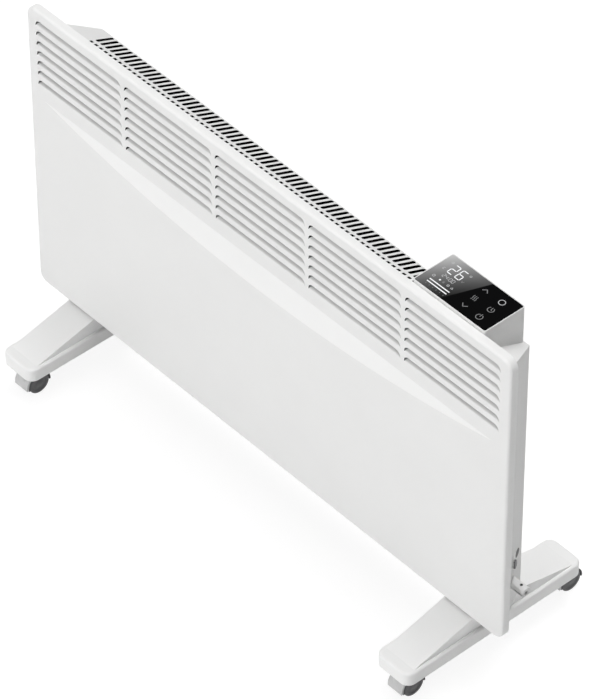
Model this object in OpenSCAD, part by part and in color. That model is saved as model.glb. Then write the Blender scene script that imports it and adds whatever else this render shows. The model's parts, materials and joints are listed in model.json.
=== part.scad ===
// Wall panel convector heater on castor feet, in millimetres.
// X runs along the panel to the right as seen from the front, -Y is the front, +Z is up.
// The origin is on the floor, under the middle of the whole outline.

/* [Front panel] */
// Width of the front panel
panel_w = 830; // [760:10:900]
// Height of the front panel
panel_h = 438; // [425:1:470]
// Depth of the flange that turns back all round the panel
panel_depth = 11.6; // [10.5:0.1:14]
// Corner radius of the panel seen from the front
panel_corner_r = 14; // [8:1:20]
// Outside radius of the pressed front edge
panel_edge_r = 3.6; // [2:0.1:5]
// Thickness of the panel sheet
panel_sheet = 1; // [0.8:0.1:1.4]

/* [Louvres] */
// Columns of louvres
louvre_cols = 5; // [3:1:5]
// Rows of louvres
louvre_rows = 7; // [4:1:7]
// Panel side edge to the first column of louvres
louvre_side_gap = 16.6; // [14:0.1:30]
// Metal between two columns of louvres
louvre_bridge = 6.7; // [4:0.1:12]
// Height of one louvre slot
louvre_h = 8.4; // [7:0.1:9.5]
// Distance from one row of louvres to the next
louvre_pitch_z = 15.2; // [14:0.1:16]
// Panel top edge to the top of the first louvre row
louvre_top_gap = 13.8; // [10:0.1:16]
// Radius of the two upper corners of a slot
louvre_corner_r = 7; // [4:0.1:7.2]
// Angle that a louvre leaf is bent inwards
louvre_angle = 58; // [35:1:65]
// Inside radius of the leaf's bend
louvre_bend_r = 1.6; // [1:0.1:2.2]
// Cut width between a leaf and its slot
louvre_kerf = 0.35; // [0.2:0.05:0.6]

/* [Crowned lower field] */
// Panel top edge to the straight upper edge of the facet
facet_top_gap = 134; // [132:1:140]
// Height of the facet in the middle
facet_h = 35; // [25:1:45]
// Panel side edge to the tip of the facet
facet_side_gap = 27; // [20:1:60]
// How far the lower field stands out in the middle
crown_d = 5; // [3:0.5:7]
// Panel bottom edge to the foot of the crown
crown_foot_gap = 12; // [10:1:30]

/* [Rear case] */
// Thickness of the case sheet
case_sheet = 1; // [0.8:0.1:1.4]
// Front face of the panel to the back of the case
case_depth = 76; // [70:1:85]
// Panel side edge to the case's flat back
case_back_inset = 48.5; // [46:0.5:80]
// Splay of the two side walls
case_splay = 28.85; // [20:0.05:29]
// Panel top edge to the top of the flat back
case_back_drop = 51; // [48:1:60]
// Slope of the case's top wall
case_slope = 22.4; // [18:0.1:24]
// Panel bottom edge to the underside of the case
case_lift = 4; // [3:0.5:8]
// Bend radius of the case's back edges
case_bend_r = 3.2; // [2:0.1:5]
// Length of the case's lip inside the panel flange
case_lip = 6; // [4:0.5:7]

/* [Outlet grille] */
// Last grille slot to the control tower
grille_tower_gap = 12; // [10:1:40]
// Distance from one grille slot to the next
grille_pitch = 8.633; // [8:0.001:9]
// Width of a grille slot
grille_slot_w = 4.8; // [3.6:0.1:5.4]
// Length of a long slot up the slope
grille_long = 28.6; // [20:0.1:30]
// Length of a short slot in front of it
grille_short = 4.3; // [3:0.1:5]
// Bridge between the long and the short slots
grille_bridge = 5.2; // [4:0.1:7]
// Back edge of the slope to the long slots
grille_edge = 3.3; // [2.8:0.1:5]
// Panel left edge to the middle of the first slot
grille_start = 71; // [66:1:90]

/* [Control tower] */
// Width of the control tower
tower_w = 116.6; // [100:0.2:117]
// Depth of the control tower
tower_d = 62; // [56:0.2:62.4]
// How far the tower stands above the panel's top edge
tower_rise = 3.5; // [2:0.5:10]
// Panel right edge to the tower's right wall
tower_inset = 55.4; // [54:0.2:70]
// Width of the white rim round the glass
tower_rim = 1.2; // [1:0.1:2]
// Thickness of the tower's walls
tower_wall = 3.2; // [2.6:0.1:4]
// Corner radius of the tower
tower_corner_r = 3; // [2:0.1:5]
// Thickness of the touch glass
glass_t = 2.4; // [2:0.1:3]

/* [Feet] */
// Length of a foot, front to back
foot_len = 280; // [260:2:310]
// Width of a foot
foot_w = 56.5; // [50:0.5:64]
// Panel side edge to the middle of a foot
foot_inset = 75.5; // [74:0.5:110]
// Height of a foot's straight rim
foot_rim_h = 18.3; // [16:0.1:22]
// Corner radius of a foot seen from above
foot_corner_r = 12; // [9:0.5:16]
// Radius of a foot's upper edge
foot_edge_r = 3; // [2:0.1:4]
// Wall thickness of the foot moulding
foot_wall = 2.6; // [2.2:0.1:3.2]
// Width of the ledge beside the sloping roof
foot_ledge = 4.3; // [3.5:0.1:6]
// Height of the sloping roof above the rim
roof_h = 22.6; // [18:0.1:26]
// Flat of the rim in front of and behind the roof
roof_inset = 14; // [10:0.5:20]
// Flat length on top of the roof
roof_flat = 58; // [50:1:80]
// Front face of the panel to the middle of the feet
foot_setback = 38; // [34:1:42]
// Distance between a foot's two castor stems
stem_gap = 252.5; // [230:0.5:256]

/* [Castors] */
// Floor to the underside of the foot
castor_h = 41.7; // [41:0.1:48]
// Radius of a castor wheel
wheel_r = 15; // [13:0.1:15.2]
// Thickness of one wheel
wheel_t = 7; // [5:0.1:7.2]
// Overall width of a castor
castor_w = 23.6; // [22:0.1:28]
// Distance of the axle behind the swivel axis
castor_trail = 12.5; // [10:0.1:14]
// Thickness of the black arch over a wheel
arch_t = 1.8; // [1.4:0.1:2.2]
// Thickness of the grey hood in front
hood_t = 3; // [2.4:0.1:3.4]
// Radius of the swivel stem
stem_r = 4; // [3.5:0.1:4.4]
// Radius of the axle
axle_r = 2; // [1.6:0.1:2.4]

/* [Heating unit] */
// Element bracket to the end of the fins
element_gap = 20; // [16:1:60]
// Reach of a fin from the element's middle
fin_reach = 24; // [18:1:26]
// Thickness of a fin
fin_t = 1.8; // [1.4:0.1:2.4]
// Radius of the sheathed heating rod
rod_r = 4; // [3:0.1:5]
// Panel bottom edge to the middle of the element
element_z = 112; // [100:1:130]
// Panel edge to the element bracket on either side
bracket_inset = 115; // [112:1:130]

/* [Hidden] */
$fn = 96;
overrun = 1;
shut_gap = 0.3;
running_gap = 0.06;
seat_gap = 0.05;
crown_fn = 1440;
crown_spare = 2;

// Heights and depths that the whole stack shares
panel_gap = 2.4;
panel_z = castor_h + foot_rim_h + roof_h + panel_gap;
arch_r = wheel_r + seat_gap + shut_gap;
castor_reach = stem_gap / 2 + castor_trail + arch_r + arch_t;
foot_y = (foot_len / 2 - castor_reach) / 2;
face_y = foot_y - foot_setback;
foot_x = panel_w / 2 - foot_inset;

// Louvre field, in the panel's own frame
louvre_len = (panel_w - 2 * louvre_side_gap - (louvre_cols - 1) * louvre_bridge) / louvre_cols;
louvre_pitch_x = louvre_len + louvre_bridge;
louvre_x0 = -(louvre_cols - 1) * louvre_pitch_x / 2;
louvre_z0 = panel_h - louvre_top_gap - louvre_h;
leaf_arc = (louvre_bend_r + panel_sheet / 2) * louvre_angle * PI / 180;
leaf_flat = louvre_h - louvre_kerf - leaf_arc;
leaf_corner_share = 0.9;
leaf_steps = 3;

// Crowned field
facet_half = panel_w / 2 - facet_side_gap;
facet_z1 = panel_h - facet_top_gap;
facet_z0 = facet_z1 - facet_h;
crown_lean = crown_d / (facet_z0 - crown_foot_gap);
crown_rise = crown_d + facet_h * crown_lean;
crown_r = (facet_half * facet_half + crown_rise * crown_rise) / (2 * crown_rise);

// Case walls: half width and top height at a depth behind the panel's face
case_half = panel_w / 2 - case_back_inset;
case_top = panel_h - case_back_drop;
rim_gap = 0.2;
rim_y = panel_depth - rim_gap - case_sheet;
rim_inset = panel_sheet + shut_gap;
function side_x(y, inset = 0) =
  case_half + (case_depth - y) * tan(case_splay) - inset / cos(case_splay);
function top_z(y, inset = 0) =
  case_top + (case_depth - y) * tan(case_slope) - inset / cos(case_slope);
floor_z = case_lift + case_sheet;
back_y = case_depth - case_sheet;

// Sheet metal screws, all alike
screw_r = 1.75;
screw_head_r = 3.4;
screw_head_h = 2.2;
screw_len = 9;
screw_hole_r = screw_r + running_gap;
recess_w = 0.9;
recess_len = 4;
recess_depth = 1.2;
flange_screw_share = [-0.65, -0.23, 0.23, 0.65];
flange_screw_y = 7;

// Foot screws
foot_screw_r = 2.5;
foot_screw_head_r = 4.6;
foot_screw_head_h = 3;
foot_screw_gap = 30;
foot_screw_spare = 5;
foot_screw_grip = 12;
boss_wall = 2.8;

// Feet
foot_top = foot_rim_h + roof_h;
roof_w = foot_w - 2 * foot_ledge;
roof_run = foot_len / 2 - roof_inset - roof_flat / 2;
roof_drop = foot_wall / cos(atan(roof_h / roof_run));
pad_w = 40;
pad_y0 = panel_depth + panel_gap - foot_setback;
pad_y1 = case_depth - case_bend_r - foot_setback;
pad_top = foot_top + panel_gap + case_lift;
foot_seat_z = pad_top - foot_screw_grip;
foot_rib_t = 1.8;
foot_rib_z = 4;
foot_rib_share = [0.3, 0.51, 0.75];
sleeve_r = 5.4;
sleeve_flange_r = 7;
sleeve_flange_t = 1.2;
sleeve_up = 0.2;
sleeve_len = 13.8;
castor_boss_r = sleeve_r + boss_wall;

// Castors: angles are measured round the axle from +Y
web_half = castor_w / 2 - wheel_t - shut_gap;
web_drop = 5;
arch_front = 195;
arch_back = -7;
hood_front = 188;
hood_back = 96;
hood_r = arch_r + arch_t + seat_gap;
hood_top_gap = 1.5;
stem_boss_wall = 1.5;
stem_boss_r = stem_r + stem_boss_wall;
collar_wall = 1.8;
boss_z = wheel_r - web_drop / 2;
stem_z = 19;
stem_in = 14;
cap_t = 1.3;
tread_r = 1.6;
disc_recess = 0.6;

// Wall bracket holes, ribs and openings of the case
wall_hole_r = 2.75;
wall_hole_gap_x = 480;
wall_hole_gap_z = 220;
wall_hole_drop = 51;
wall_hole_z = case_top - wall_hole_drop - wall_hole_gap_z / 2;
rib_share = [0.19, 0.39, 0.64, 0.82];
rib_end_gap = 66.5;
rib_half = case_half - rib_end_gap;
rib_r = 8;
rib_depth = 2;
inlet_end_gap = 24;
inlet_pitch = 16;
inlet_w = 8;
inlet_len = 46;
inlet_edge = 8;

// Tower opening in the roof and the tower's screws
tower_x = panel_w / 2 - tower_inset - tower_w / 2;
grille_x0 = grille_start - panel_w / 2;
grille_count = 1 + floor((tower_x - tower_w / 2 - grille_tower_gap - grille_x0) / grille_pitch);
tower_y = panel_depth + shut_gap + tower_d / 2;
tower_top = panel_h + tower_rise;
tower_hole_w = 88;
tower_hole_len = 34;
tower_screw_inset = 6.4;
tower_boss_h = 12;
slope_len = tower_d / cos(case_slope);

// Sensor slit, sensor clip and cord gland in the right wall
slit_y = 59.5;
slit_z = 77;
slit_len = 12;
slit_h = 3.4;
clip_y = 49;
clip_z = 75.5;
clip_hole_r = 3;
gland_y = 48;
gland_z = 40;
gland_r = 4.25;
gland_bore_r = 3.2;
gland_hole_r = gland_r + running_gap;
gland_reach = 23;
gland_tail = 16;
collar_r = 7;
collar_len = 9;
bridge_at = 12.65;
bridge_len = 8;
bridge_w = 10.2;
bridge_h = 5.5;
clip_w = 7.2;
clip_h = 21;
clip_t = 3;

// Element, its rod and its brackets
element_y = 42;
bracket_x = panel_w / 2 - bracket_inset;
element_len = 2 * (bracket_x - element_gap);
inlet_count = 2 * floor((bracket_x - inlet_end_gap) / inlet_pitch);
bracket_t = 2;
bracket_w = 40;
bracket_rise = 18;
bracket_foot = 18;
insulator_r = 8;
insulator_neck_r = 6.4;
insulator_neck = 4;
insulator_collar = 7;
rod_out = 20;

// Heat shield
shield_inset = 10;
shield_w = element_len - 2 * shield_inset;
shield_z0 = 62;
shield_drop = 87;
shield_z1 = case_top - shield_drop;
shield_y = 70;
shield_t = 1;
shield_lip = 14;
shield_lip_angle = 35;
shield_post_r = 6;
shield_screw_inset = 60;
shield_screw_x = shield_w / 2 - shield_screw_inset;
shield_screw_share = [0.15, 0.83];
dimple_r = 6.4;
dimple_slope = 1.2;
dimple_depth = 2.6;

// Electrical parts
board_inset = 81;
board_x = panel_w / 2 - board_inset;
board_w = 54;
board_h = 150;
board_drop = 67;
board_z0 = case_top - board_drop - board_h;
board_t = 1.6;
board_y = 50;
standoff_r = 3.2;
standoff_inset = 4;
block_x = board_x;
block_w = 40;
block_d = 18;
block_h = 16;
block_y = 36;
cutout_inset = 120;
cutout_x = shield_w / 2 - cutout_inset;
cutout_drop = 100;
cutout_z = shield_z1 - cutout_drop;
cutout_r = 8;
cutout_h = 9;
switch_inset = 100;
switch_x = switch_inset - bracket_x;
switch_w = 34;
switch_d = 20;
switch_h = 28;
switch_y = 60;
wire_r = 1.2;
wire_bend_r = 3.6;
ribbon_w = 10;
cutout_tab_w = 4.8;
switch_plate_d = 16;
switch_plate_t = 2.5;
switch_plate_w = 54;

// Pieces on the power board: width, depth and height
relay = [18, 18, 27];
relay_z = 90;
transformer = [28.8, 14.4, 28.8];
transformer_z = 45;
capacitor_r = 6;
capacitor_len = 21.6;
capacitor_x = -12.6;
capacitor_z = 112.5;
wire_plug = [36, 14.4, 12.6];
ribbon_plug = [18, 9, 9];
cutout_plug_w = 9;
cutout_plug_d = 10.8;

// Display board and its pieces
display_t = 1.6;
display_drop = 6;
ledge_t = 2;
ledge_w = 8;
display_w = 104;
display_d = 50;
digits_x = -9.6;
digits_y = 6.4;
digits_w = 32;
digits_d = 19.2;
digits_h = 3.2;
digit_w = 9.6;
digit_d = 16;
lamp_count = 5;
lamp_r = 1;
lamp_h = 3.2;
lamp_pitch = 6.4;
lamp_y = -9.6;
spring_r = 3.2;
spring_pitch_x = 9.6;
spring_pitch_y = 16;
spring_x = 28.8;

// Helpers

// Moves a part from the panel's own frame, with its face at y = 0 and its lower edge at z = 0
module in_panel_frame() translate([0, face_y, panel_z]) children();

// Stands a flat outline drawn in X and Z up, and gives it a depth towards +Y
module upright(depth) translate([0, depth, 0]) rotate([90, 0, 0]) linear_extrude(depth) children();

// Carries an outline drawn in Y and Z along X, centred on x = 0
module along_x(len) translate([-len / 2, 0, 0]) rotate([90, 0, 90]) linear_extrude(len) children();

module rod_x(r, len) rotate([0, 90, 0]) cylinder(r = r, h = len, center = true);

module rod_y(r, len) rotate([-90, 0, 0]) cylinder(r = r, h = len);

// Both sides of a part that is alike left and right
module both_sides() for (s = [0, 1]) mirror([s, 0, 0]) children();

// Box centred in x and y that stands on z = 0
module block(w, d, h) translate([-w / 2, -d / 2, 0]) cube([w, d, h]);

// Box with upright round corners, centred in x and y
module round_block(w, d, h, r) linear_extrude(h) {
  square([w - 2 * r, d], center = true);
  square([w, d - 2 * r], center = true);
  for (x = [-1, 1], y = [-1, 1]) translate([x * (w / 2 - r), y * (d / 2 - r)]) circle(r);
}

// Half section of a slab whose outer edge is rounded at y = 0
module edge_section(r, edge, depth) {
  square([r - edge, depth]);
  translate([0, edge]) square([r, depth - edge]);
  intersection() {
    translate([r - edge, edge]) circle(edge);
    square([r, depth]);
  }
}

// Solid slab standing in X and Z with its face at y = 0 and the face's edge rounded all round
module slab(w, h, r, edge, depth) {
  mid_w = w - 2 * r;
  mid_h = h - 2 * r;
  translate([-mid_w / 2, 0, r]) cube([mid_w, depth, mid_h]);
  both_sides() translate([mid_w / 2, 0, r])
    linear_extrude(mid_h) edge_section(r, edge, depth);
  for (s = [0, 1]) translate([0, 0, s * h]) mirror([0, 0, s]) {
    translate([-mid_w / 2, 0, r]) rotate([0, 90, 0])
      linear_extrude(mid_w) edge_section(r, edge, depth);
    both_sides() translate([mid_w / 2, 0, r]) rotate([-90, 0, 0])
      rotate_extrude(angle = 90) edge_section(r, edge, depth);
  }
}

// Pressed tray: a slab hollowed out from behind
module tray(w, h, r, edge, depth, sheet) difference() {
  slab(w, h, r, edge, depth);
  translate([0, sheet, sheet])
    slab(w - 2 * sheet, h - 2 * sheet, r - sheet, edge - sheet, depth - sheet + overrun);
}

// Pan head screw pointing along +Z, its head's seat at z = 0
module screw(r, head_r, head_h, len) difference() {
  union() {
    cylinder(r = r, h = len - r);
    translate([0, 0, len - r]) cylinder(r1 = r, r2 = r / 2, h = r);
    translate([0, 0, -head_h]) cylinder(r = head_r, h = head_h);
  }
  translate([0, 0, -head_h - overrun]) for (a = [0, 90]) rotate([0, 0, a])
    block(recess_len, recess_w, overrun + recess_depth);
}

module small_screw() screw(screw_r, screw_head_r, screw_head_h, screw_len);

// Front panel

// Crown of the lower field: a very large upright barrel that leans back to nothing at its foot
module crown_blank() intersection() {
  reach = crown_rise + crown_spare;
  half = facet_half + panel_corner_r;
  foot = crown_foot_gap / 2;
  translate([0, 0, crown_foot_gap]) rotate([atan(crown_lean), 0, 0])
    translate([0, 0, -crown_foot_gap]) linear_extrude(panel_h) intersection() {
      translate([0, crown_r]) circle(crown_r, $fn = crown_fn);
      translate([-half, 0]) square([2 * half, reach]);
    }
  // everything above the crown's foot and below the facet's plane
  along_x(panel_w) polygon([
    [-2 * crown_d, foot], [-2 * crown_d, facet_z0 - facet_h],
    [crown_spare, facet_z1 + facet_h * crown_spare / crown_d], [crown_spare, foot]
  ]);
}

module crown_outside() intersection() {
  crown_blank();
  translate([-panel_w / 2, -2 * crown_d, 0])
    cube([panel_w, 2 * crown_d + panel_sheet / 2, panel_h]);
}

module crown_inside() translate([0, panel_sheet, 0]) crown_blank();

// Outline of a slot: straight below, two round corners above
module slot_outline(len, h, r) intersection() {
  translate([-len / 2, 0]) square([len, h]);
  union() {
    translate([-len / 2 + r, 0]) square([len - 2 * r, h]);
    translate([-len / 2, 0]) square([len, h - r]);
    for (x = [-len / 2 + r, len / 2 - r]) translate([x, h - r]) circle(r);
  }
}

// Section of a leaf in Y and Z: a root in the sheet, a bend in short flats and the flat leaf
module leaf_section() {
  hub = louvre_bend_r + panel_sheet;
  out_dir = [sin(louvre_angle), cos(louvre_angle)];
  function at(r, a) = [hub - r * cos(a), r * sin(a)];
  outer = [for (i = [0 : leaf_steps]) at(hub, louvre_angle * i / leaf_steps)];
  inner = [for (i = [leaf_steps : -1 : 0]) at(louvre_bend_r, louvre_angle * i / leaf_steps)];
  polygon(concat(
    [[0, -panel_sheet / 2]], outer, [at(hub, louvre_angle) + leaf_flat * out_dir],
    [at(louvre_bend_r, louvre_angle) + leaf_flat * out_dir], inner,
    [[panel_sheet, -panel_sheet / 2]]
  ));
}

// One leaf, bent inwards about the lower edge of its slot, with two round corners
module louvre_leaf() {
  len = louvre_len - 2 * louvre_kerf;
  hub = louvre_bend_r + panel_sheet;
  intersection() {
    along_x(len) leaf_section();
    translate([0, hub, 0]) rotate([-louvre_angle, 0, 0]) translate([0, -2 * hub, -louvre_h])
      upright(4 * hub) slot_outline(len, leaf_flat + louvre_h, leaf_flat * leaf_corner_share);
  }
}

module each_louvre() for (c = [0 : louvre_cols - 1], r = [0 : louvre_rows - 1])
  translate([louvre_x0 + c * louvre_pitch_x, 0, louvre_z0 - r * louvre_pitch_z]) children();

module front_panel() color("white") in_panel_frame() {
  difference() {
    union() {
      tray(panel_w, panel_h, panel_corner_r, panel_edge_r, panel_depth, panel_sheet);
      crown_outside();
    }
    crown_inside();
    translate([0, -overrun, 0]) upright(panel_sheet + 2 * overrun) each_slot_outline();
    for (share = flange_screw_share) translate([share * panel_w / 2, flange_screw_y, -overrun])
      cylinder(r = screw_hole_r, h = panel_sheet + 2 * overrun);
  }
  each_louvre() louvre_leaf();
}

module each_slot_outline() for (c = [0 : louvre_cols - 1], r = [0 : louvre_rows - 1])
  translate([louvre_x0 + c * louvre_pitch_x, louvre_z0 - r * louvre_pitch_z])
    slot_outline(louvre_len, louvre_h, louvre_corner_r);

// Rear case

// Plan of the case: two splayed walls and a flat back, with bent corners
module case_plan(inset) {
  r = case_bend_r - inset;
  turn = (90 - case_splay) / 2;
  reach = r * tan(turn);
  y1 = case_depth - inset;
  x1 = side_x(y1, inset);
  x0 = side_x(0, inset);
  polygon([
    [-x0, 0], [x0, 0], [x1 + reach * sin(case_splay), y1 - reach * cos(case_splay)],
    [x1 - reach, y1], [reach - x1, y1],
    [-x1 - reach * sin(case_splay), y1 - reach * cos(case_splay)]
  ]);
  for (s = [-1, 1]) translate([s * (x1 - reach), y1 - r]) circle(r);
}

// Side outline of the case: a sloping roof, a flat back and a level floor
module case_side(inset) {
  r = case_bend_r - inset;
  turn = (90 - case_slope) / 2;
  reach = r * tan(turn);
  y1 = case_depth - inset;
  z1 = top_z(y1, inset);
  z0 = case_lift + inset;
  polygon([
    [0, z0], [y1 - r, z0], [y1, z0 + r], [y1, z1 - reach],
    [y1 - reach * cos(case_slope), z1 + reach * sin(case_slope)], [0, top_z(0, inset)]
  ]);
  translate([y1 - r, z0 + r]) circle(r);
  translate([y1 - r, z1 - reach]) circle(r);
}

// Solid of the case's outline, from one depth backwards
module case_solid(inset, y0) intersection() {
  linear_extrude(panel_h) case_plan(inset);
  along_x(panel_w) case_side(inset);
  translate([-panel_w / 2, y0, 0]) cube([panel_w, case_depth, panel_h]);
}

// Frame on the roof: x across, y down the slope towards the back, z along the roof's normal
module on_roof(x, y) translate([x, y, top_z(y)]) rotate([-case_slope, 0, 0]) children();

// Frame on the right wall: x along the wall's normal, y along the wall to the back
module on_wall(y, z, inset = 0) translate([side_x(y, inset), y, z])
  rotate([0, 0, case_splay]) children();

// Cuts through one sheet, seen from its outside
module roof_cut() translate([0, 0, -case_sheet - overrun])
  linear_extrude(case_sheet + 2 * overrun) children();

// Slots of the outlet, laid out on the roof from its back edge
module grille_outline() {
  y_long = -grille_edge - grille_slot_w / 2;
  for (i = [0 : grille_count - 1]) translate([i * grille_pitch, 0]) {
    translate([-grille_slot_w / 2, y_long - grille_long + grille_slot_w])
      square([grille_slot_w, grille_long - grille_slot_w]);
    translate([0, y_long]) circle(grille_slot_w / 2);
    translate([0, y_long - grille_long + grille_slot_w]) circle(grille_slot_w / 2);
    translate([-grille_slot_w / 2, -grille_edge - grille_long - grille_bridge - grille_short])
      square([grille_slot_w, grille_short]);
  }
}

// Slots of the inlet in the floor
module inlet_outline() for (i = [0 : inlet_count - 1])
  translate([(i - (inlet_count - 1) / 2) * inlet_pitch, case_depth - inlet_edge - inlet_len / 2]) {
    square([inlet_w, inlet_len - inlet_w], center = true);
    for (s = [-1, 1]) translate([0, s * (inlet_len - inlet_w) / 2]) circle(inlet_w / 2);
  }

// Positions of the tower's screws on the roof, along its normal
module each_tower_screw() {
  reach = tower_d / 2 - tower_screw_inset;
  for (x = [-1, 1], y = [-1, 1])
    on_roof(tower_x + x * (tower_w / 2 - tower_screw_inset), tower_y + y * reach) children();
}

// Positions of the screws that hold the element brackets, seen from below the floor
module each_bracket_screw() both_sides() for (s = [-1, 1])
  translate([bracket_x - bracket_foot / 2, element_y + s * bracket_w / 4, case_lift]) children();

// Positions of the shield's screws on the back, seen from behind
module each_shield_screw() for (x = [-1, 1], share = shield_screw_share)
  translate([x * shield_screw_x, case_depth, shield_z0 + share * (shield_z1 - shield_z0)])
    rotate([90, 0, 0]) children();

// Round dimple with a sloping wall, grown by the sheet for its inner side
module dimple(grow) {
  translate([0, 0, -overrun]) cylinder(r = dimple_r + dimple_slope + grow, h = overrun);
  cylinder(r1 = dimple_r + dimple_slope + grow, r2 = dimple_r + grow, h = dimple_depth + grow);
}

module each_foot_screw() both_sides() for (s = [-1, 1])
  translate([foot_x, foot_setback + s * foot_screw_gap / 2, case_lift]) children();

module rear_case() color("gainsboro") in_panel_frame() {
  rib_y = case_depth + rib_r - rib_depth;
  difference() {
    union() {
      case_solid(0, rim_y);
      // rim and lip that sit inside the panel's flange
      translate([0, rim_y + case_sheet, rim_inset]) mirror([0, 1, 0])
        slab(panel_w - 2 * rim_inset, panel_h - 2 * rim_inset, panel_corner_r - rim_inset,
          2 * case_sheet, case_lip + case_sheet);
    }
    // room inside the lip
    translate([0, rim_y, rim_inset + case_sheet]) mirror([0, 1, 0])
      slab(panel_w - 2 * rim_inset - 2 * case_sheet, panel_h - 2 * rim_inset - 2 * case_sheet,
        panel_corner_r - rim_inset - case_sheet, case_sheet, case_lip + overrun);
    difference() {
      case_solid(case_sheet, 0);
      for (share = rib_share) translate([0, rib_y, share * panel_h]) {
        rod_x(rib_r + case_sheet, 2 * rib_half);
        for (s = [-1, 1]) translate([s * rib_half, 0, 0]) sphere(rib_r + case_sheet);
      }
      each_shield_screw() dimple(case_sheet);
    }
    each_shield_screw() dimple(0);
    for (share = rib_share) translate([0, rib_y, share * panel_h]) {
      rod_x(rib_r, 2 * rib_half);
      for (s = [-1, 1]) translate([s * rib_half, 0, 0]) sphere(rib_r);
    }
    on_roof(grille_x0, case_depth) roof_cut() grille_outline();
    translate([0, 0, floor_z]) roof_cut() inlet_outline();
    on_roof(tower_x, tower_y) translate([0, 0, -case_sheet - overrun])
      round_block(tower_hole_w, tower_hole_len, case_sheet + 2 * overrun, tower_corner_r);
    each_tower_screw() roof_cut() circle(screw_hole_r);
    each_bracket_screw() translate([0, 0, -overrun])
      cylinder(r = screw_hole_r, h = case_sheet + 2 * overrun);
    each_shield_screw() cylinder(r = screw_hole_r, h = dimple_depth + case_sheet + overrun);
    each_foot_screw() translate([0, 0, -overrun])
      cylinder(r = foot_screw_r + running_gap, h = case_sheet + 2 * overrun);
    for (share = flange_screw_share) translate([share * panel_w / 2, flange_screw_y, 0])
      cylinder(r = screw_hole_r, h = rim_inset + case_sheet + overrun);
    // holes for a wall bracket
    for (x = [-1, 1], z = [-1, 1])
      translate([x * wall_hole_gap_x / 2, back_y - overrun, wall_hole_z + z * wall_hole_gap_z / 2])
        rod_y(wall_hole_r, case_sheet + 2 * overrun);
    // sensor slit, clip hole and gland hole
    on_wall(slit_y, slit_z) translate([-case_sheet - overrun, -slit_len / 2, -slit_h / 2])
      cube([case_sheet + 2 * overrun, slit_len, slit_h]);
    on_wall(clip_y, clip_z) rod_x(clip_hole_r + running_gap, 2 * case_sheet + 2 * overrun);
    translate([side_x(gland_y), gland_y, gland_z]) rod_x(gland_hole_r, 4 * gland_r);
  }
}

module case_screws() color("silver") in_panel_frame() {
  for (share = flange_screw_share) translate([share * panel_w / 2, flange_screw_y, 0]) small_screw();
  each_bracket_screw() small_screw();
  each_shield_screw() translate([0, 0, dimple_depth]) small_screw();
  each_tower_screw() translate([0, 0, -case_sheet]) small_screw();
}

// Heat shield behind the element: a plate with two lips bent forwards, on four pressed posts
module shield_section() {
  knee = shield_t * tan(shield_lip_angle / 2);
  lip_dir = [-sin(shield_lip_angle), cos(shield_lip_angle)];
  end_dir = [-cos(shield_lip_angle), -sin(shield_lip_angle)];
  half = (shield_z1 - shield_z0) / 2;
  tip = [shield_y, half] + shield_lip * lip_dir;
  side = [tip, tip + shield_t * end_dir, [shield_y - shield_t, half - knee]];
  translate([0, shield_z0 + half]) polygon(concat(
    [[shield_y, half]], side,
    [for (i = [2, 1, 0]) [side[i][0], -side[i][1]]], [[shield_y, -half]]
  ));
}

module heat_shield() color("lightgray") in_panel_frame() difference() {
  post_len = back_y - dimple_depth - shield_y + shield_t;
  union() {
    along_x(shield_w) shield_section();
    each_shield_screw() translate([0, 0, dimple_depth + case_sheet])
      cylinder(r = shield_post_r, h = post_len);
  }
  each_shield_screw() cylinder(r = screw_hole_r, h = dimple_depth + case_sheet + post_len + overrun);
}

// Heating unit

module at_element() translate([0, element_y, element_z]) children();

// Fins of the aluminium element: long ones above and below, short ones at the sides
module fin_outline() difference() {
  fin_gap = fin_reach / 4;
  sleeve_r = rod_r + 2 * fin_t;
  union() {
    circle(sleeve_r);
    for (a = [0, 45, 90, 135]) rotate(a) square([2 * fin_reach, fin_t], center = true);
    for (s = [-1, 1]) translate([0, s * (fin_reach - fin_gap)])
      square([fin_reach, fin_t], center = true);
    for (s = [-1, 1]) translate([s * (fin_reach - fin_gap), 0])
      square([fin_t, fin_reach], center = true);
  }
  circle(rod_r + seat_gap);
}

module element_fins() color("silver") in_panel_frame() at_element() {
  along_x(element_len) fin_outline();
}

module element_rod() color("dimgray") in_panel_frame() at_element() {
  rod_x(rod_r, 2 * (bracket_x + rod_out / 2));
  rod_x(rod_r / 2, 2 * (bracket_x + rod_out));
}

// Ceramic bushes with a collar on the inner side of each bracket
module element_insulators() color("ivory") in_panel_frame() both_sides()
  translate([bracket_x, element_y, element_z]) difference() {
    union() {
      translate([-insulator_collar / 2, 0, 0]) rod_x(insulator_r, insulator_collar);
      translate([insulator_neck / 2, 0, 0]) rod_x(insulator_neck_r, insulator_neck);
    }
    rod_x(rod_r + running_gap, 2 * insulator_collar + 2 * overrun);
  }

module element_brackets() color("lightgray") in_panel_frame() both_sides()
  translate([bracket_x, element_y, 0]) {
    top = element_z + bracket_rise;
    difference() {
      translate([0, -bracket_w / 2, floor_z]) cube([bracket_t, bracket_w, top - floor_z]);
      translate([0, 0, element_z]) rod_x(insulator_neck_r + running_gap, 2 * bracket_t + 2 * overrun);
      for (s = [-1, 1]) translate([0, s * bracket_w / 2, top]) rotate([45, 0, 0])
        cube([2 * bracket_t + 2 * overrun, bracket_rise, bracket_rise], center = true);
    }
    difference() {
      translate([-bracket_foot, -bracket_w / 2, floor_z]) cube([bracket_foot, bracket_w, bracket_t]);
      for (s = [-1, 1]) translate([-bracket_foot / 2, s * bracket_w / 4, floor_z - overrun])
        cylinder(r = screw_hole_r, h = bracket_t + 2 * overrun);
    }
  }

// Electrical parts

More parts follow.
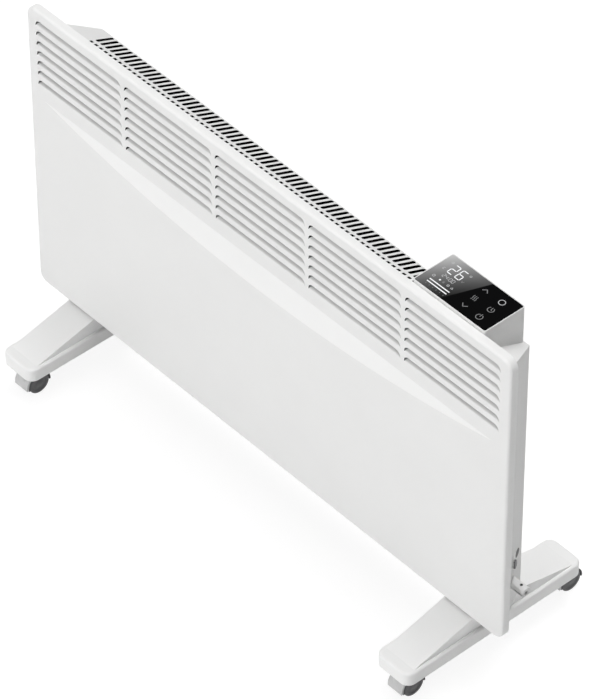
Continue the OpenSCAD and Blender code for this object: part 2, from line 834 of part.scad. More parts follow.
// Disc thermostat against the heat shield, with two tabs
module thermal_cutout() color("saddlebrown") in_panel_frame()
  translate([cutout_x, shield_y - shield_t, cutout_z]) rotate([90, 0, 0]) {
    cylinder(r = cutout_r, h = cutout_h / 3);
    cylinder(r = cutout_r - shield_t, h = cutout_h);
    for (s = [-1, 1]) translate([s * cutout_r / 2, -s * cutout_r / 2, 0])
      block(shield_t, cutout_tab_w, cutout_h + cutout_tab_w);
  }

// Switch that cuts the power when the heater tips over
module tip_switch() color("dimgray") in_panel_frame()
  translate([switch_x, switch_y, floor_z]) {
    difference() {
      union() {
        block(switch_w, switch_d, switch_h);
        block(switch_plate_w, switch_plate_d, switch_plate_t);
      }
      translate([0, 0, switch_h / 2]) rotate([90, 0, 0])
        cylinder(r = switch_h / 4, h = switch_d + 2 * overrun, center = true);
    }
    for (s = [-1, 1]) translate([s * switch_w / 4, 0, 0])
      block(shield_t, switch_d / 4, switch_h + switch_plate_t);
  }

// Three way terminal block on the floor
module terminal_block() color("ivory") in_panel_frame() translate([block_x, block_y, floor_z])
  difference() {
    way = block_w / 3;
    union() {
      block(block_w, block_d, block_h / 2);
      for (i = [-1 : 1]) translate([i * way, 0, 0]) block(way - 2 * overrun, block_d, block_h);
    }
    for (i = [-1 : 1]) translate([i * way, 0, block_h / 2]) {
      cylinder(r = way / 5, h = block_h);
      rotate([90, 0, 0]) cylinder(r = way / 6, h = block_d + 2 * overrun, center = true);
    }
  }

// Power board with relay, transformer, capacitor and plugs
module power_board() color("seagreen") in_panel_frame() translate([board_x, board_y, board_z0]) {
  difference() {
    translate([-board_w / 2, 0, 0]) cube([board_w, board_t, board_h]);
    for (x = [-1, 1], z = [0, 1])
      translate([x * (board_w / 2 - standoff_inset), -overrun,
          standoff_inset + z * (board_h - 2 * standoff_inset)])
        rod_y(screw_hole_r, board_t + 2 * overrun);
  }
  translate([0, -relay[1], relay_z]) cube(relay);
  translate([-transformer[0] / 2, -transformer[1], transformer_z]) cube(transformer);
  translate([capacitor_x, -capacitor_len, capacitor_z]) rod_y(capacitor_r, capacitor_len);
  // plugs for the wires below, the ribbon cable above and the thermostat behind
  translate([-wire_plug[0] / 2, -wire_plug[1], 0]) cube(wire_plug);
  translate([-ribbon_plug[0] / 2, -ribbon_plug[1], board_h - ribbon_plug[2]]) cube(ribbon_plug);
  translate([-board_w / 2, board_t, cutout_z - board_z0 - cutout_r])
    cube([cutout_plug_w, cutout_plug_d, 2 * cutout_r]);
}

// Hexagonal posts between the board and the back of the case
module board_standoffs() color("goldenrod") in_panel_frame()
  for (x = [-1, 1], z = [0, 1])
    translate([board_x + x * (board_w / 2 - standoff_inset), board_y + board_t,
        board_z0 + standoff_inset + z * (board_h - 2 * standoff_inset)]) {
      rotate([-90, 0, 0]) cylinder(r = standoff_r, h = back_y - board_y - board_t, $fn = 6);
      translate([0, -board_t - screw_r, 0]) rod_y(screw_r, board_t + 2 * screw_r);
    }

// Room sensor behind the slit, on a bent tab
module temp_sensor() color("black") in_panel_frame() on_wall(slit_y, slit_z, case_sheet) {
  bulb_r = slit_h;
  translate([-bulb_r - case_sheet, 0, 0]) rotate([90, 0, 0]) {
    cylinder(r = bulb_r, h = slit_len - bulb_r, center = true);
    translate([0, 0, slit_len / 2 - bulb_r / 2]) sphere(bulb_r);
  }
  translate([-case_sheet, -slit_len / 2, slit_h / 2 + case_sheet])
    cube([case_sheet, slit_len, slit_h]);
  translate([-bulb_r - case_sheet, -slit_len / 4, bulb_r / 2])
    cube([bulb_r + case_sheet, slit_len / 4, bulb_r]);
}

// Clip that carries the sensor's lead through the wall
module sensor_clip() color("white") in_panel_frame() on_wall(clip_y, clip_z) difference() {
  union() {
    translate([0, -clip_w / 2, -clip_h / 2 + clip_w / 2]) cube([clip_t, clip_w, clip_h - clip_w]);
    for (s = [-1, 1]) translate([clip_t / 2, 0, s * (clip_h - clip_w) / 2])
      rod_x(clip_w / 2, clip_t);
    translate([-clip_t, 0, 0]) rod_x(clip_hole_r, 2 * clip_t);
  }
  translate([0, 0, clip_h / 4]) rod_x(clip_w / 4, 4 * clip_t);
  rod_x(clip_hole_r / 2, 6 * clip_t);
}

// Strain relief for the supply cord, square to the right, with a wedge collar on the splayed wall
module in_front_of_wall(inset, s) on_wall(gland_y, gland_z, inset)
  translate([s > 0 ? 0 : -4 * gland_reach, -2 * gland_reach, -2 * gland_reach])
    cube([4 * gland_reach, 4 * gland_reach, 4 * gland_reach]);

module at_gland() translate([side_x(gland_y), gland_y, gland_z]) children();

module cord_gland() color("white") in_panel_frame() difference() {
  union() {
    at_gland() translate([(gland_reach - gland_tail) / 2, 0, 0]) rod_x(gland_r, gland_reach + gland_tail);
    intersection() {
      at_gland() rod_x(collar_r, 2 * collar_len);
      in_front_of_wall(0, 1);
    }
    // clamp bridge over the mouth
    at_gland() translate([bridge_at, 0, 0]) block(bridge_len, bridge_w, bridge_h);
  }
  at_gland() rod_x(gland_bore_r, 2 * gland_reach + 2 * gland_tail);
  at_gland() translate([bridge_at, 0, gland_r]) cylinder(r = screw_r / 2, h = bridge_h);
}

// Hexagonal nut with a wedge base inside the wall
module gland_nut() color("white") in_panel_frame() difference() {
  intersection() {
    at_gland() rotate([0, -90, 0]) cylinder(r = 2 * gland_r, h = gland_tail - 2 * overrun, $fn = 6);
    in_front_of_wall(case_sheet, -1);
  }
  at_gland() rod_x(gland_hole_r, 2 * gland_reach + 2 * gland_tail);
}

// Harness: straight runs and quarter bends
module wire(len) cylinder(r = wire_r, h = len);

module wire_bend(bend) translate([bend, 0, 0]) rotate([90, 0, 180])
  rotate_extrude(angle = 90) translate([bend, 0]) circle(wire_r);

module inner_wires() color("firebrick") in_panel_frame() {
  way = block_w / 3;
  bend = wire_bend_r;
  lead_x = bracket_x + rod_out;
  ribbon_y = board_y - ribbon_plug[1] / 2;
  ribbon_z = board_z0 + board_h;
  ribbon_top = tower_top - glass_t - ledge_t - display_drop - display_t;
  switch_out = switch_x + switch_w / 2;
  switch_wire_y = switch_y + switch_d / 3;
  // terminal block up to the power board
  for (i = [0, 1]) translate([block_x + i * way, (block_y + board_y) / 2 - wire_r, floor_z + block_h])
    wire(board_z0 - floor_z - block_h);
  // end of the heating rod up to the power board
  translate([lead_x + bend, element_y, element_z + bend]) {
    wire(board_z0 - element_z - bend);
    rotate([0, 180, 0]) wire_bend(bend);
  }
  // thermostat to the back of the power board
  for (s = [-1, 1]) translate([cutout_x + s * cutout_r / 2 + shield_t / 2,
      shield_y - shield_t - cutout_h - wire_r, cutout_z - s * cutout_r / 2])
    rotate([0, 90, 0]) wire(board_x - board_w / 2 - cutout_x - s * cutout_r / 2 - shield_t / 2);
  // tilt switch behind the brackets to the terminal block
  for (i = [1, 2]) translate([0, 0, floor_z + (i + 2) * 2 * bend / 3]) {
    run_x = block_x - bend;
    translate([switch_out, switch_wire_y, 0]) rotate([0, 90, 0]) wire(run_x - switch_out);
    translate([block_x, switch_wire_y - bend, 0]) rotate([90, 0, 0])
      wire(switch_wire_y - bend - block_y - block_d / 2);
    translate([run_x, switch_wire_y - bend, 0]) rotate_extrude(angle = 90)
      translate([bend, 0]) circle(wire_r);
  }
  // ribbon cable up into the tower
  translate([block_x, ribbon_y, ribbon_z]) block(ribbon_w, wire_r, ribbon_top - ribbon_z);
}

// Control tower

module at_tower(z) translate([tower_x, tower_y, z]) children();

module control_tower() color("white") in_panel_frame() {
  ledge_z = tower_top - glass_t;
  base_z = case_top - case_bend_r;
  boss_r = screw_r + boss_wall;
  difference() {
    union() {
      difference() {
        at_tower(base_z)
          round_block(tower_w, tower_d, tower_top - base_z, tower_corner_r);
        at_tower(base_z - overrun) block(tower_w - 2 * tower_wall, tower_d - 2 * tower_wall,
          ledge_z - ledge_t - base_z + overrun);
        at_tower(ledge_z - ledge_t - overrun) block(tower_w - 2 * tower_wall - 2 * ledge_w,
          tower_d - 2 * tower_wall - 2 * ledge_w, ledge_t + 2 * overrun);
      }
      // screw bosses that stand on the roof
      intersection() {
        each_tower_screw() cylinder(r = boss_r, h = tower_boss_h);
        at_tower(0) block(tower_w - tower_wall, tower_d - tower_wall, tower_top);
      }
    }
    // recess for the glass
    at_tower(ledge_z) round_block(tower_w - 2 * tower_rim, tower_d - 2 * tower_rim,
      glass_t + overrun, tower_corner_r - tower_rim / 2);
    // sloping underside, face to face with the roof
    on_roof(tower_x, tower_y) translate([-tower_w, -slope_len, -tower_top])
      cube([2 * tower_w, 2 * slope_len, tower_top]);
    each_tower_screw() translate([0, 0, -overrun]) cylinder(r = screw_hole_r, h = screw_len + overrun);
  }
  // posts that carry the display board
  for (x = [-1, 1], y = [-1, 1])
    at_tower(ledge_z - ledge_t - display_drop)
      translate([x * (display_w / 2 - standoff_inset), y * (display_d / 2 - standoff_inset), 0]) {
        cylinder(r = standoff_r, h = display_drop + ledge_t / 2);
        translate([0, 0, -2 * display_t]) cylinder(r = standoff_r / 2, h = 2 * display_t);
      }
}

// Display board with segments, lamps and touch springs on its upper side
module display_board() color("seagreen") in_panel_frame()
  at_tower(tower_top - glass_t - ledge_t - display_drop - display_t) {
    difference() {
      block(display_w, display_d, display_t);
      for (x = [-1, 1], y = [-1, 1])
        translate([x * (display_w / 2 - standoff_inset), y * (display_d / 2 - standoff_inset), -overrun])
          cylinder(r = standoff_r / 2 + running_gap, h = display_t + 2 * overrun);
    }
    // frame of the two digits
    translate([digits_x, digits_y, display_t]) difference() {
      block(digits_w, digits_d, digits_h);
      for (s = [-1, 1]) translate([s * digits_w / 5, 0, digits_h / 2])
        block(digit_w, digit_d, digits_h);
    }
    // indicator lamps
    for (i = [0 : lamp_count - 1])
      translate([digits_x + (i - (lamp_count - 1) / 2) * lamp_pitch, lamp_y, display_t])
        cylinder(r = lamp_r, h = lamp_h);
    // touch springs
    for (i = [0 : 2], s = [-1, 1])
      translate([spring_x + (i - 1) * spring_pitch_x, s * spring_pitch_y / 2, display_t])
        cylinder(r = spring_r, h = display_drop - running_gap);
  }

module touch_glass() color("black") in_panel_frame() at_tower(tower_top - glass_t)
  round_block(tower_w - 2 * tower_rim - 2 * seat_gap, tower_d - 2 * tower_rim - 2 * seat_gap,
    glass_t, tower_corner_r - tower_rim / 2 - seat_gap);

// Feet

module rim_solid(inset) translate([0, inset - foot_len / 2, foot_rim_h - inset]) rotate([-90, 0, 0])
  slab(foot_w - 2 * inset, foot_len - 2 * inset, foot_corner_r - inset, foot_edge_r - inset,
    foot_rim_h - inset + (inset > 0 ? overrun : 0));

// Prism under the sloping roof, lowered and narrowed for the hollow
module roof_solid(inset, drop, base) along_x(roof_w - 2 * inset) polygon([
  [-foot_len / 2 + roof_inset, base], [-foot_len / 2 + roof_inset, foot_rim_h - drop],
  [-roof_flat / 2, foot_top - drop], [roof_flat / 2, foot_top - drop],
  [foot_len / 2 - roof_inset, foot_rim_h - drop], [foot_len / 2 - roof_inset, base]
]);

module each_stem() for (s = [-1, 1]) translate([0, s * stem_gap / 2, 0]) children();

module each_foot_boss() for (s = [-1, 1]) translate([0, s * foot_screw_gap / 2, 0]) children();

module foot() {
  boss_r = foot_screw_r + boss_wall;
  seat_z = sleeve_up + sleeve_flange_t;
  difference() {
    union() {
      rim_solid(0);
      roof_solid(0, 0, foot_rim_h - foot_edge_r);
      translate([0, (pad_y0 + pad_y1) / 2, foot_top - 2 * foot_wall])
        block(pad_w, pad_y1 - pad_y0, pad_top - foot_top + 2 * foot_wall);
    }
    difference() {
      union() {
        rim_solid(foot_wall);
        roof_solid(foot_wall, roof_drop, -overrun);
      }
      // bosses and ribs left standing in the hollow
      each_stem() translate([0, 0, seat_z]) cylinder(r = castor_boss_r, h = foot_rim_h);
      each_foot_boss() translate([0, 0, foot_seat_z]) cylinder(r = boss_r, h = foot_top);
      for (s = [-1, 1], share = foot_rib_share) translate([0, s * share * foot_len / 2, foot_rib_z])
        block(foot_w, foot_rib_t, foot_top);
      translate([0, 0, foot_rib_z]) block(foot_rib_t, foot_len, foot_top);
      translate([0, (pad_y0 + pad_y1) / 2, foot_seat_z + 2 * foot_wall])
        block(pad_w, pad_y1 - pad_y0, foot_top);
    }
    each_stem() translate([0, 0, -overrun]) {
      cylinder(r = sleeve_r + seat_gap, h = overrun + seat_z + sleeve_len + seat_gap);
      cylinder(r = sleeve_flange_r + shut_gap, h = overrun + seat_z);
    }
    each_foot_boss() translate([0, 0, -overrun]) {
      cylinder(r = foot_screw_r + running_gap, h = pad_top + 2 * overrun);
      cylinder(r = foot_screw_head_r + 2 * shut_gap, h = foot_seat_z + overrun);
    }
  }
}

module foot_left() color("white") translate([-foot_x, foot_y, castor_h]) foot();
module foot_right() color("white") translate([foot_x, foot_y, castor_h]) foot();

module foot_screws() color("silver") both_sides() translate([foot_x, foot_y, castor_h + foot_seat_z])
  each_foot_boss() screw(foot_screw_r, foot_screw_head_r, foot_screw_head_h,
    foot_screw_grip + case_sheet + foot_screw_spare);

// Flanged sleeves that carry the castor stems
module castor_sleeves() color("dimgray") both_sides() translate([foot_x, foot_y, castor_h])
  each_stem() translate([0, 0, sleeve_up]) difference() {
    union() {
      cylinder(r = sleeve_flange_r, h = sleeve_flange_t);
      cylinder(r = sleeve_r, h = sleeve_flange_t + sleeve_len);
    }
    translate([0, 0, -overrun]) cylinder(r = stem_r + running_gap, h = sleeve_len + 3 * overrun);
  }

// Castors, each in its own frame: swivel axis on z, floor at z = 0, wheels trailing towards +Y

module at_axle() translate([0, castor_trail, wheel_r]) children();

// Ring sector in Y and Z from one angle to another, measured from +Y
module arc_band(r0, r1, a0, a1) intersection() {
  difference() {
    circle(r1);
    circle(r0);
  }
  mid = (a0 + a1) / 2;
  far = 2 * r1;
  polygon([
    [0, 0], [far * cos(a0), far * sin(a0)],
    [2 * far * cos((a0 + mid) / 2), 2 * far * sin((a0 + mid) / 2)],
    [2 * far * cos((mid + a1) / 2), 2 * far * sin((mid + a1) / 2)],
    [far * cos(a1), far * sin(a1)]
  ]);
}

module castor_housing() difference() {
  union() {
    at_axle() {
      along_x(castor_w) arc_band(arch_r, arch_r + arch_t, arch_back, arch_front);
      along_x(2 * web_half) {
        intersection() {
          circle(arch_r + arch_t / 2);
          translate([-2 * arch_r, 0]) square([4 * arch_r, 2 * arch_r]);
        }
        circle(web_drop);
      }
    }
    difference() {
      translate([0, 0, boss_z]) cylinder(r = stem_boss_r, h = castor_h - shut_gap - boss_z);
      both_sides() at_axle() translate([web_half + arch_r / 2, 0, 0]) rod_x(arch_r, arch_r);
    }
  }
  translate([0, 0, stem_z]) cylinder(r = stem_r + seat_gap, h = castor_h);
  at_axle() rod_x(axle_r + seat_gap, castor_w);
}

module castor_hood() difference() {
  union() {
    at_axle() along_x(castor_w) arc_band(hood_r, hood_r + hood_t, hood_back, hood_front);
    // collar round the stem boss
    difference() {
      translate([0, 0, wheel_r]) cylinder(r = stem_boss_r + seat_gap + collar_wall,
        h = castor_h - hood_top_gap - wheel_r);
      at_axle() rod_x(hood_r + hood_t / 2, castor_w + 2 * overrun);
    }
  }
  translate([0, 0, boss_z]) cylinder(r = stem_boss_r + seat_gap, h = castor_h);
}

module castor_stem() {
  top = castor_h + stem_in;
  groove = stem_r / 3;
  difference() {
    union() {
      translate([0, 0, stem_z + seat_gap]) cylinder(r = stem_r, h = top - groove - stem_z - seat_gap);
      translate([0, 0, top - groove]) cylinder(r1 = stem_r, r2 = stem_r - groove, h = groove);
    }
    translate([0, 0, top - 4 * groove]) difference() {
      cylinder(r = 2 * stem_r, h = groove);
      cylinder(r = stem_r - groove / 2, h = groove);
    }
  }
}

// Half section of one wheel, from its inner to its outer face
module wheel_section() difference() {
  union() {
    translate([axle_r + running_gap, 0]) square([wheel_r - tread_r - axle_r - running_gap, wheel_t]);
    translate([0, wheel_t - cap_t]) square([wheel_r / 2, cap_t]);
    translate([0, tread_r]) square([wheel_r, wheel_t - 2 * tread_r]);
    for (y = [tread_r, wheel_t - tread_r]) translate([wheel_r - tread_r, y]) circle(tread_r);
  }
  translate([-1, 0] * wheel_r) square([wheel_r, wheel_t]);
  translate([0, -overrun]) square([axle_r + running_gap, wheel_t - cap_t + overrun]);
  // shallow ring round the hub
  translate([wheel_r / 3, wheel_t - disc_recess]) square([wheel_r / 3, wheel_t]);
}

module castor_wheels() at_axle() both_sides()
  translate([castor_w / 2 - wheel_t, 0, 0]) rotate([90, 0, 90]) rotate_extrude() wheel_section();

module castor_axle() at_axle() rod_x(axle_r, castor_w - 2 * cap_t - 2 * shut_gap);

module at_castor(x, y) translate([x * foot_x, foot_y + y * stem_gap / 2, 0]) children();

// Front left castor
module housing_fl() color("black") at_castor(-1, -1) castor_housing();
module hood_fl() color("lightgray") at_castor(-1, -1) castor_hood();
module stem_fl() color("silver") at_castor(-1, -1) castor_stem();
module wheels_fl() color("dimgray") at_castor(-1, -1) castor_wheels();
module axle_fl() color("silver") at_castor(-1, -1) castor_axle();

// Front right castor
module housing_fr() color("black") at_castor(1, -1) castor_housing();
module hood_fr() color("lightgray") at_castor(1, -1) castor_hood();
module stem_fr() color("silver") at_castor(1, -1) castor_stem();
module wheels_fr() color("dimgray") at_castor(1, -1) castor_wheels();
module axle_fr() color("silver") at_castor(1, -1) castor_axle();

// Back left castor
module housing_bl() color("black") at_castor(-1, 1) castor_housing();
module hood_bl() color("lightgray") at_castor(-1, 1) castor_hood();
module stem_bl() color("silver") at_castor(-1, 1) castor_stem();
module wheels_bl() color("dimgray") at_castor(-1, 1) castor_wheels();
module axle_bl() color("silver") at_castor(-1, 1) castor_axle();

// Back right castor
module housing_br() color("black") at_castor(1, 1) castor_housing();
module hood_br() color("lightgray") at_castor(1, 1) castor_hood();
module stem_br() color("silver") at_castor(1, 1) castor_stem();
module wheels_br() color("dimgray") at_castor(1, 1) castor_wheels();
module axle_br() color("silver") at_castor(1, 1) castor_axle();

front_panel();
rear_case();
case_screws();
heat_shield();
element_fins();
element_rod();
element_insulators();
element_brackets();
thermal_cutout();
tip_switch();
terminal_block();
power_board();
board_standoffs();
temp_sensor();
sensor_clip();
cord_gland();
gland_nut();
inner_wires();
control_tower();
display_board();
touch_glass();
foot_left();
foot_right();
foot_screws();
castor_sleeves();
housing_fl();
hood_fl();
stem_fl();
wheels_fl();
axle_fl();
housing_fr();
hood_fr();
stem_fr();
wheels_fr();
axle_fr();
housing_bl();
hood_bl();
stem_bl();
wheels_bl();
axle_bl();
housing_br();
hood_br();
stem_br();
wheels_br();
axle_br();
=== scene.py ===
"""Looks of a wall panel convector heater on castor feet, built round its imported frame."""

import json
import math

import bmesh
import bpy
from mathutils import Matrix, Vector
from mathutils.geometry import delaunay_2d_cdt


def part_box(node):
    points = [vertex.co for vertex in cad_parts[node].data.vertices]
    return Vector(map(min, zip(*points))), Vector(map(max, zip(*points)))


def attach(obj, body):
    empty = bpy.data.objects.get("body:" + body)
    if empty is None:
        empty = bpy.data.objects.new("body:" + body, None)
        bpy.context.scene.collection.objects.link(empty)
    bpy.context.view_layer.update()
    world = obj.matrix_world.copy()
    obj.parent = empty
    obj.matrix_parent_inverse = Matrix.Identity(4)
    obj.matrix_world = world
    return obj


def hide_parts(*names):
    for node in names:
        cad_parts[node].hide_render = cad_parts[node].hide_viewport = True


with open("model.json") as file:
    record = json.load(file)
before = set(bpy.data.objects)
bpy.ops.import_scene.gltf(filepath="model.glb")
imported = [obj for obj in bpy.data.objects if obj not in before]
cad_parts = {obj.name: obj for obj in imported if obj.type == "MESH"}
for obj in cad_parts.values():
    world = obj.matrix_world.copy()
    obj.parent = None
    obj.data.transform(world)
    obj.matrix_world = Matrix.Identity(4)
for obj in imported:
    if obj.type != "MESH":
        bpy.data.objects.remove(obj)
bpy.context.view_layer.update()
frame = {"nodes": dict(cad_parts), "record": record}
scene = bpy.context.scene


def node_box(name):
    """Lowest and highest corner of a CAD node, in millimetres of the row frame."""
    return [[round(v * 1000, 2) for v in corner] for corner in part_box(name)]


panel_low, panel_high = node_box("front_panel")
glass_low, glass_high = node_box("touch_glass")

# Front panel in millimetres, in its own frame: face at y = 0, lower edge at z = 0
PANEL_W, PANEL_H = panel_high[0] - panel_low[0], panel_high[2] - panel_low[2]
PANEL_DEPTH, SHEET = 11.6, 1.0
PANEL_Z, FACE_Y = panel_low[2], panel_high[1] - PANEL_DEPTH
CORNER_R, EDGE_R, RIM_ROUND = 14.0, 3.6, 0.25
SLOT_LEN, SLOT_H, SLOT_R = 154.0, 8.4, 7.0
COLS, ROWS, PITCH_X, PITCH_Z = 5, 7, 160.7, 15.2
# From the panel's upper edge to the first slots and to the facet
SLOT_MARGIN, FACET_MARGIN = 13.8, 134.0
FIRST_SLOT_Z = PANEL_H - SLOT_MARGIN - SLOT_H
# Bend of the louvre leaves and the width of the cut round them
LEAF_ANGLE, BEND_R, KERF = math.radians(58), 1.6, 0.35
# How far a leaf's ends are cut back at its tip, the power of that curve, and the gap over the bend
LEAF_END, LEAF_ROUND, LEAF_GAP = 12.0, 1.6, 1.0
FACET_TOP, FACET_H, FACET_HALF = PANEL_H - FACET_MARGIN, 35.0, 388.0
CROWN, CROWN_FOOT = 5.0, 12.0
LEAN = CROWN / (FACET_TOP - FACET_H - CROWN_FOOT)
RISE = CROWN + FACET_H * LEAN
BARREL_R = (FACET_HALF ** 2 + RISE ** 2) / (2 * RISE)
# The facet is shaded as if it were this much steeper, which gives it the photograph's brightness
FACET_SHADE = 2.2

# Rear case, in the panel's frame: half width and top of its back wall, and how the other walls lean
CASE_HALF, CASE_TOP = 366.5, 387.0
CASE_DEPTH = node_box("rear_case")[1][1] - FACE_Y
SPLAY, SLOPE = math.radians(28.85), math.radians(22.4)
# How far the limits of its inner room lie inside its outer faces and the panel's rim
ROOM_SIDE, ROOM_TOP, ROOM_BACK, ROOM_RIM, ROOM_FLOOR = 1.4, 0.3, 1.2, 2.0, 0.5
# In metres: how far in front of a face the room is looked for
PROBE = 0.003
# In square metres: smaller faces are judged by their middle, and larger faces are shaded flat
SMALL_FACE, LARGE_FACE = 0.0001, 0.001
# In metres and radians: what counts as one point and as one plane when a CAD mesh is cleaned
WELD, FLATNESS = 2e-6, math.radians(0.3)

# Touch glass, in the row frame, lowered a little so that its marks stay below the CAD's top
MARK_LIFT, GLASS_R = 0.03, 2.35
GLASS_TOP = glass_high[2] - 2 * MARK_LIFT


def place(x, y, z):
    """A point of the panel's own frame, in the row frame and in metres."""
    return Vector((x, y + FACE_Y, z + PANEL_Z)) / 1000


# Node helpers for materials

def new_material(name):
    mat = bpy.data.materials.new(name)
    mat.use_nodes = True
    tree = mat.node_tree
    return mat, tree, tree.nodes["Principled BSDF"]


def noise(tree, scale, detail=3.0, kind="ShaderNodeTexNoise"):
    coord = tree.nodes.new("ShaderNodeTexCoord")
    tex = tree.nodes.new(kind)
    tex.inputs["Scale"].default_value = scale
    if "Detail" in tex.inputs:
        tex.inputs["Detail"].default_value = detail
    tree.links.new(coord.outputs["Object"], tex.inputs["Vector"])
    return tex


def ramp(tree, source, low, high, start=0.3, end=0.7):
    node = tree.nodes.new("ShaderNodeMapRange")
    node.inputs["From Min"].default_value = start
    node.inputs["From Max"].default_value = end
    node.inputs["To Min"].default_value = low
    node.inputs["To Max"].default_value = high
    tree.links.new(source, node.inputs["Value"])
    return node.outputs["Result"]


def tint(tree, source, colour, shade):
    """Colour that varies between the given one and a slightly darker one."""
    mix = tree.nodes.new("ShaderNodeMix")
    mix.data_type = "RGBA"
    mix.inputs["A"].default_value = (*colour, 1)
    mix.inputs["B"].default_value = (*(c * shade for c in colour), 1)
    tree.links.new(source, mix.inputs["Factor"])
    return mix.outputs["Result"]


def bump(tree, shader, source, height):
    node = tree.nodes.new("ShaderNodeBump")
    node.inputs["Strength"].default_value = 1.0
    node.inputs["Distance"].default_value = height
    tree.links.new(source, node.inputs["Height"])
    tree.links.new(node.outputs["Normal"], shader.inputs["Normal"])


def calc(tree, operation, first, second):
    """Maths node on a socket and a second operand, which is a socket or a number."""
    node = tree.nodes.new("ShaderNodeMath")
    node.operation = operation
    tree.links.new(first, node.inputs[0])
    if isinstance(second, (int, float)):
        node.inputs[1].default_value = second
    else:
        tree.links.new(second, node.inputs[1])
    return node.outputs[0]


# Scale of the slow colour drift, and how far roughness strays to either side
DRIFT_SCALE, ROUGH_SPREAD = 14.0, 0.06


def surface(name, colour, rough, grain, depth, shade=0.96, metal=0.0, specular=0.5):
    """A finish with slow colour drift, fine roughness variation and a fine grain."""
    mat, tree, shader = new_material(name)
    drift = noise(tree, DRIFT_SCALE, 2.0)
    fine = noise(tree, grain, 4.0)
    tree.links.new(tint(tree, ramp(tree, drift.outputs["Fac"], 0, 1), colour, shade),
                   shader.inputs["Base Color"])
    tree.links.new(ramp(tree, fine.outputs["Fac"], rough - ROUGH_SPREAD, rough + ROUGH_SPREAD),
                   shader.inputs["Roughness"])
    shader.inputs["Metallic"].default_value = metal
    shader.inputs["Specular IOR Level"].default_value = specular
    bump(tree, shader, fine.outputs["Fac"], depth)
    return mat


def white_finish(name, level, rough, grain, depth=0.00004, shade=0.985):
    """Matt white paint or plastic, a touch warmer than grey."""
    return surface(name, (level, level, level - 0.005), rough, grain, depth, shade, specular=0.2)


def spangled(name, colour, rough):
    """Galvanised sheet: crystal patches of slightly different brightness."""
    mat, tree, shader = new_material(name)
    cells = noise(tree, 160, kind="ShaderNodeTexVoronoi")
    grey = tree.nodes.new("ShaderNodeSeparateColor")
    tree.links.new(cells.outputs["Color"], grey.inputs["Color"])
    tree.links.new(tint(tree, grey.outputs["Red"], colour, 0.78), shader.inputs["Base Color"])
    tree.links.new(ramp(tree, grey.outputs["Green"], rough - 0.1, rough + 0.1, 0, 1),
                   shader.inputs["Roughness"])
    shader.inputs["Metallic"].default_value = 1
    return mat


def brushed(name, colour, rough, stretch):
    """Metal with drawn lines along one axis."""
    mat, tree, shader = new_material(name)
    coord = tree.nodes.new("ShaderNodeTexCoord")
    scale = tree.nodes.new("ShaderNodeMapping")
    scale.inputs["Scale"].default_value = stretch
    lines = tree.nodes.new("ShaderNodeTexNoise")
    lines.inputs["Scale"].default_value = 900
    tree.links.new(coord.outputs["Object"], scale.inputs["Vector"])
    tree.links.new(scale.outputs["Vector"], lines.inputs["Vector"])
    tree.links.new(tint(tree, ramp(tree, lines.outputs["Fac"], 0, 1), colour, 0.88),
                   shader.inputs["Base Color"])
    tree.links.new(ramp(tree, lines.outputs["Fac"], rough - 0.08, rough + 0.08),
                   shader.inputs["Roughness"])
    shader.inputs["Metallic"].default_value = 1
    bump(tree, shader, lines.outputs["Fac"], 0.00003)
    return mat


def board_finish(name):
    """Circuit board lacquer with copper tracks showing through."""
    mat, tree, shader = new_material(name)
    tracks = noise(tree, 240, kind="ShaderNodeTexVoronoi")
    tracks.distance = "MANHATTAN"
    cover = ramp(tree, tracks.outputs["Distance"], 0, 1, 0.28, 0.34)
    tree.links.new(tint(tree, cover, (0.05, 0.22, 0.11), 0.45), shader.inputs["Base Color"])
    shader.inputs["Roughness"].default_value = 0.32
    bump(tree, shader, tracks.outputs["Distance"], 0.00005)
    return mat


def glowing(name, colour, strength):
    """Lit mark under the glass, with a faint unevenness."""
    mat, tree, shader = new_material(name)
    uneven = noise(tree, 700, 1.0)
    shader.inputs["Base Color"].default_value = (0.02, 0.02, 0.02, 1)
    shader.inputs["Roughness"].default_value = 0.3
    shader.inputs["Emission Color"].default_value = (*colour, 1)
    tree.links.new(ramp(tree, uneven.outputs["Fac"], strength * 0.92, strength * 1.05),
                   shader.inputs["Emission Strength"])
    return mat


# Painted reflection on the glass, a grey gloss streak: its level at one point of the row frame in metres,
# how fast it falls to the right and to the front, and the power that shapes the fall
GLOSS_LEVEL, GLOSS_SPOT, GLOSS_FALL, GLOSS_POWER = 0.745, (0.246, 0.024), (-6.8, 5.8), 2.3
# The line that cuts it off: its place, its slant and the width of its blur
GLOSS_EDGE, GLOSS_SLANT, GLOSS_BLUR = 0.2997, 0.38, 0.0012


